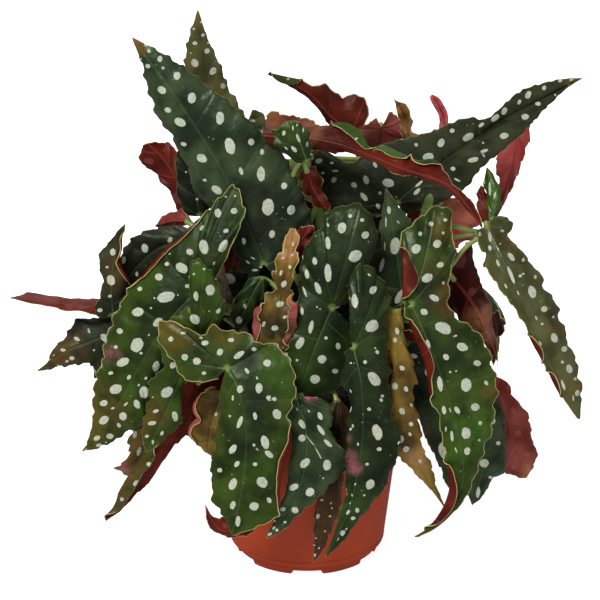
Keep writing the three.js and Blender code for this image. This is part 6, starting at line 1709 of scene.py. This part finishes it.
class BEGONIA_OT_pot(Operator):
    """Make the nursery pot, with its rolled rim, notched foot and drain holes"""
    bl_idname = "begonia.pot"
    bl_label = "Pot"

    def execute(self, context):
        looks = context.scene.pot_looks
        top, rim = looks.height, looks.rim_radius
        pot = spun("pot_shell", [*FOOT_SECTION, *((r, top + z) for r, z in COLLAR_SECTION),
                                 *((rim + r, top + z) for r, z in RIM_SECTION), *INNER_SECTION],
                   POT_STEPS)
        *others, cutter = foot_cutters()
        joined(cutter, others)
        finish_with(pot, "BOOLEAN", object=cutter, operation="DIFFERENCE", solver="EXACT")
        bpy.data.objects.remove(cutter)
        finish_with(pot, "BEVEL", width=EDGE_ROUNDING * MM, segments=EDGE_STEPS,
                    limit_method="ANGLE", angle_limit=EDGE_ANGLE)
        pick(pot)
        bpy.ops.object.shade_smooth_by_angle(angle=SMOOTH_ANGLE)
        clad(pot, plastic_look(looks))
        hand_over(pot, "pot", "pot")
        return {"FINISHED"}


def soil_height(reach):
    """The height of the soil at a distance from the pot's axis."""
    return SOIL_LEVEL + SOIL_SWELL * (1 - (reach / SOIL_RADIUS) ** 2)


class BEGONIA_OT_soil(Operator):
    """Make the potting soil, a low rough mound with lumps of bark and grit"""
    bl_idname = "begonia.soil"
    bl_label = "Soil"

    def execute(self, context):
        looks = context.scene.pot_looks
        draw = random.Random(SOIL_SEED)
        top = [(r, soil_height(r)) for r in np.linspace(0, SOIL_RADIUS, SOIL_RINGS)]
        soil = spun("soil_mound", [*SOIL_SIDE, *reversed(top)], SOIL_STEPS)
        for vertex in soil.data.vertices:
            x, y, z = vertex.co / MM
            if z > SOIL_ROUGH_FROM:
                rough = sum(math.sin(x * a + y * b + c) for a, b, c in SOIL_WAVES)
                grain = draw.uniform(-SOIL_GRAIN, SOIL_GRAIN)
                vertex.co.z += (SOIL_WAVE * rough + grain) * MM
        crumbs = []
        crumb = basic_shape(bpy.ops.mesh.primitive_ico_sphere_add, subdivisions=2, radius=MM,
                            location=(0, 0, 0))
        for i in range(looks.crumbs):
            copy = new_piece(f"crumb_{i}", crumb.data.copy())
            reach, turn = SOIL_RADIUS * math.sqrt(draw.random()), draw.uniform(0, math.tau)
            size = draw.uniform(*CRUMB_SIZES)
            for vertex in copy.data.vertices:
                vertex.co *= draw.uniform(*CRUMB_DENTS)
            copy.scale = [size * draw.uniform(*CRUMB_SHAPES) for _ in range(3)]
            copy.rotation_euler = [draw.uniform(0, math.tau) for _ in range(3)]
            height = soil_height(reach) + size * CRUMB_RISE
            copy.location = (reach * math.sin(turn) * MM, reach * math.cos(turn) * MM, height * MM)
            crumbs.append(copy)
        bpy.data.objects.remove(crumb)
        joined(soil, crumbs)
        clad(soil, soil_look(looks))
        smoothed(soil)
        hand_over(soil, "soil", "soil")
        return {"FINISHED"}


def soft_light(name, strength, softness, way):
    """A distant light that shines along a way; softness is the angle that it fills."""
    light = bpy.data.lights.new(name, "SUN")
    light.energy, light.angle = strength, math.radians(softness)
    lamp = new_piece(name, light)
    lamp.rotation_euler = Vector(way).to_track_quat("-Z", "Y").to_euler()


class BEGONIA_OT_stage(Operator):
    """Lay the pale floor and set the soft light and the camera"""
    bl_idname = "begonia.stage"
    bl_label = "Stage"

    def execute(self, context):
        looks = context.scene.stage_looks
        floor = basic_shape(bpy.ops.mesh.primitive_plane_add, size=FLOOR_SIZE, location=(0, 0, 0))
        floor.name = "floor"
        look = Look("floor_paper", base_color=looks.floor, roughness=FLOOR_ROUGHNESS,
                    emission_color=looks.floor, emission_strength=looks.glow)
        floor.data.materials.append(look.material)
        floor.visible_glossy = False
        soft_light("key_light", looks.key, *KEY_LIGHT)
        soft_light("fill_light", looks.fill, *FILL_LIGHT)
        soft_light("back_light", looks.fill, *BACK_LIGHT)
        world = bpy.data.worlds.new("surroundings")
        world.use_nodes = True
        sky = world.node_tree.nodes["Background"]
        sky.inputs["Color"].default_value = (1, 1, 1, 1)
        sky.inputs["Strength"].default_value = looks.sky
        context.scene.world = world
        context.scene.view_settings.view_transform = "Standard"
        camera = bpy.data.cameras.new("camera")
        camera.sensor_width = SENSOR_WIDTH
        camera.lens = SENSOR_WIDTH * VIEW_FOCUS / VIEW_SIZE
        camera.clip_end = CAMERA_REACH
        holder = new_piece("camera", camera)
        holder.location = VIEW_EYE * MM
        holder.rotation_euler = (math.pi / 2 - VIEW_TILT, 0, 0)
        context.scene.camera = holder
        return {"FINISHED"}


class BEGONIA_PT_panel(Panel):
    """The steps, in the order in which they run"""
    bl_idname = "BEGONIA_PT_panel"
    bl_label = "Potted begonia"
    bl_space_type = "VIEW_3D"
    bl_region_type = "UI"
    bl_category = "Begonia"

    def draw(self, context):
        for step in STEPS:
            self.layout.operator(step.bl_idname)
        for group in ("leaf_looks", "pot_looks", "stage_looks"):
            looks = getattr(context.scene, group)
            for key in looks.__annotations__:
                self.layout.prop(looks, key)


STEPS = (BEGONIA_OT_stage, BEGONIA_OT_pot, BEGONIA_OT_soil, BEGONIA_OT_leaves,
         BEGONIA_OT_back_leaves, BEGONIA_OT_canes)
CLASSES = (LeafLooks, PotLooks, StageLooks, *STEPS, BEGONIA_PT_panel)


def register():
    for kind in CLASSES:
        bpy.utils.register_class(kind)
    bpy.types.Scene.leaf_looks = PointerProperty(type=LeafLooks)
    bpy.types.Scene.pot_looks = PointerProperty(type=PotLooks)
    bpy.types.Scene.stage_looks = PointerProperty(type=StageLooks)


def unregister():
    del bpy.types.Scene.stage_looks
    del bpy.types.Scene.pot_looks
    del bpy.types.Scene.leaf_looks
    for kind in reversed(CLASSES):
        bpy.utils.unregister_class(kind)


def main():
    register()
    bpy.ops.begonia.stage()
    bpy.ops.begonia.pot()
    bpy.ops.begonia.soil()
    bpy.ops.begonia.leaves()
    bpy.ops.begonia.back_leaves()
    bpy.ops.begonia.canes()


if __name__ == "__main__":
    main()
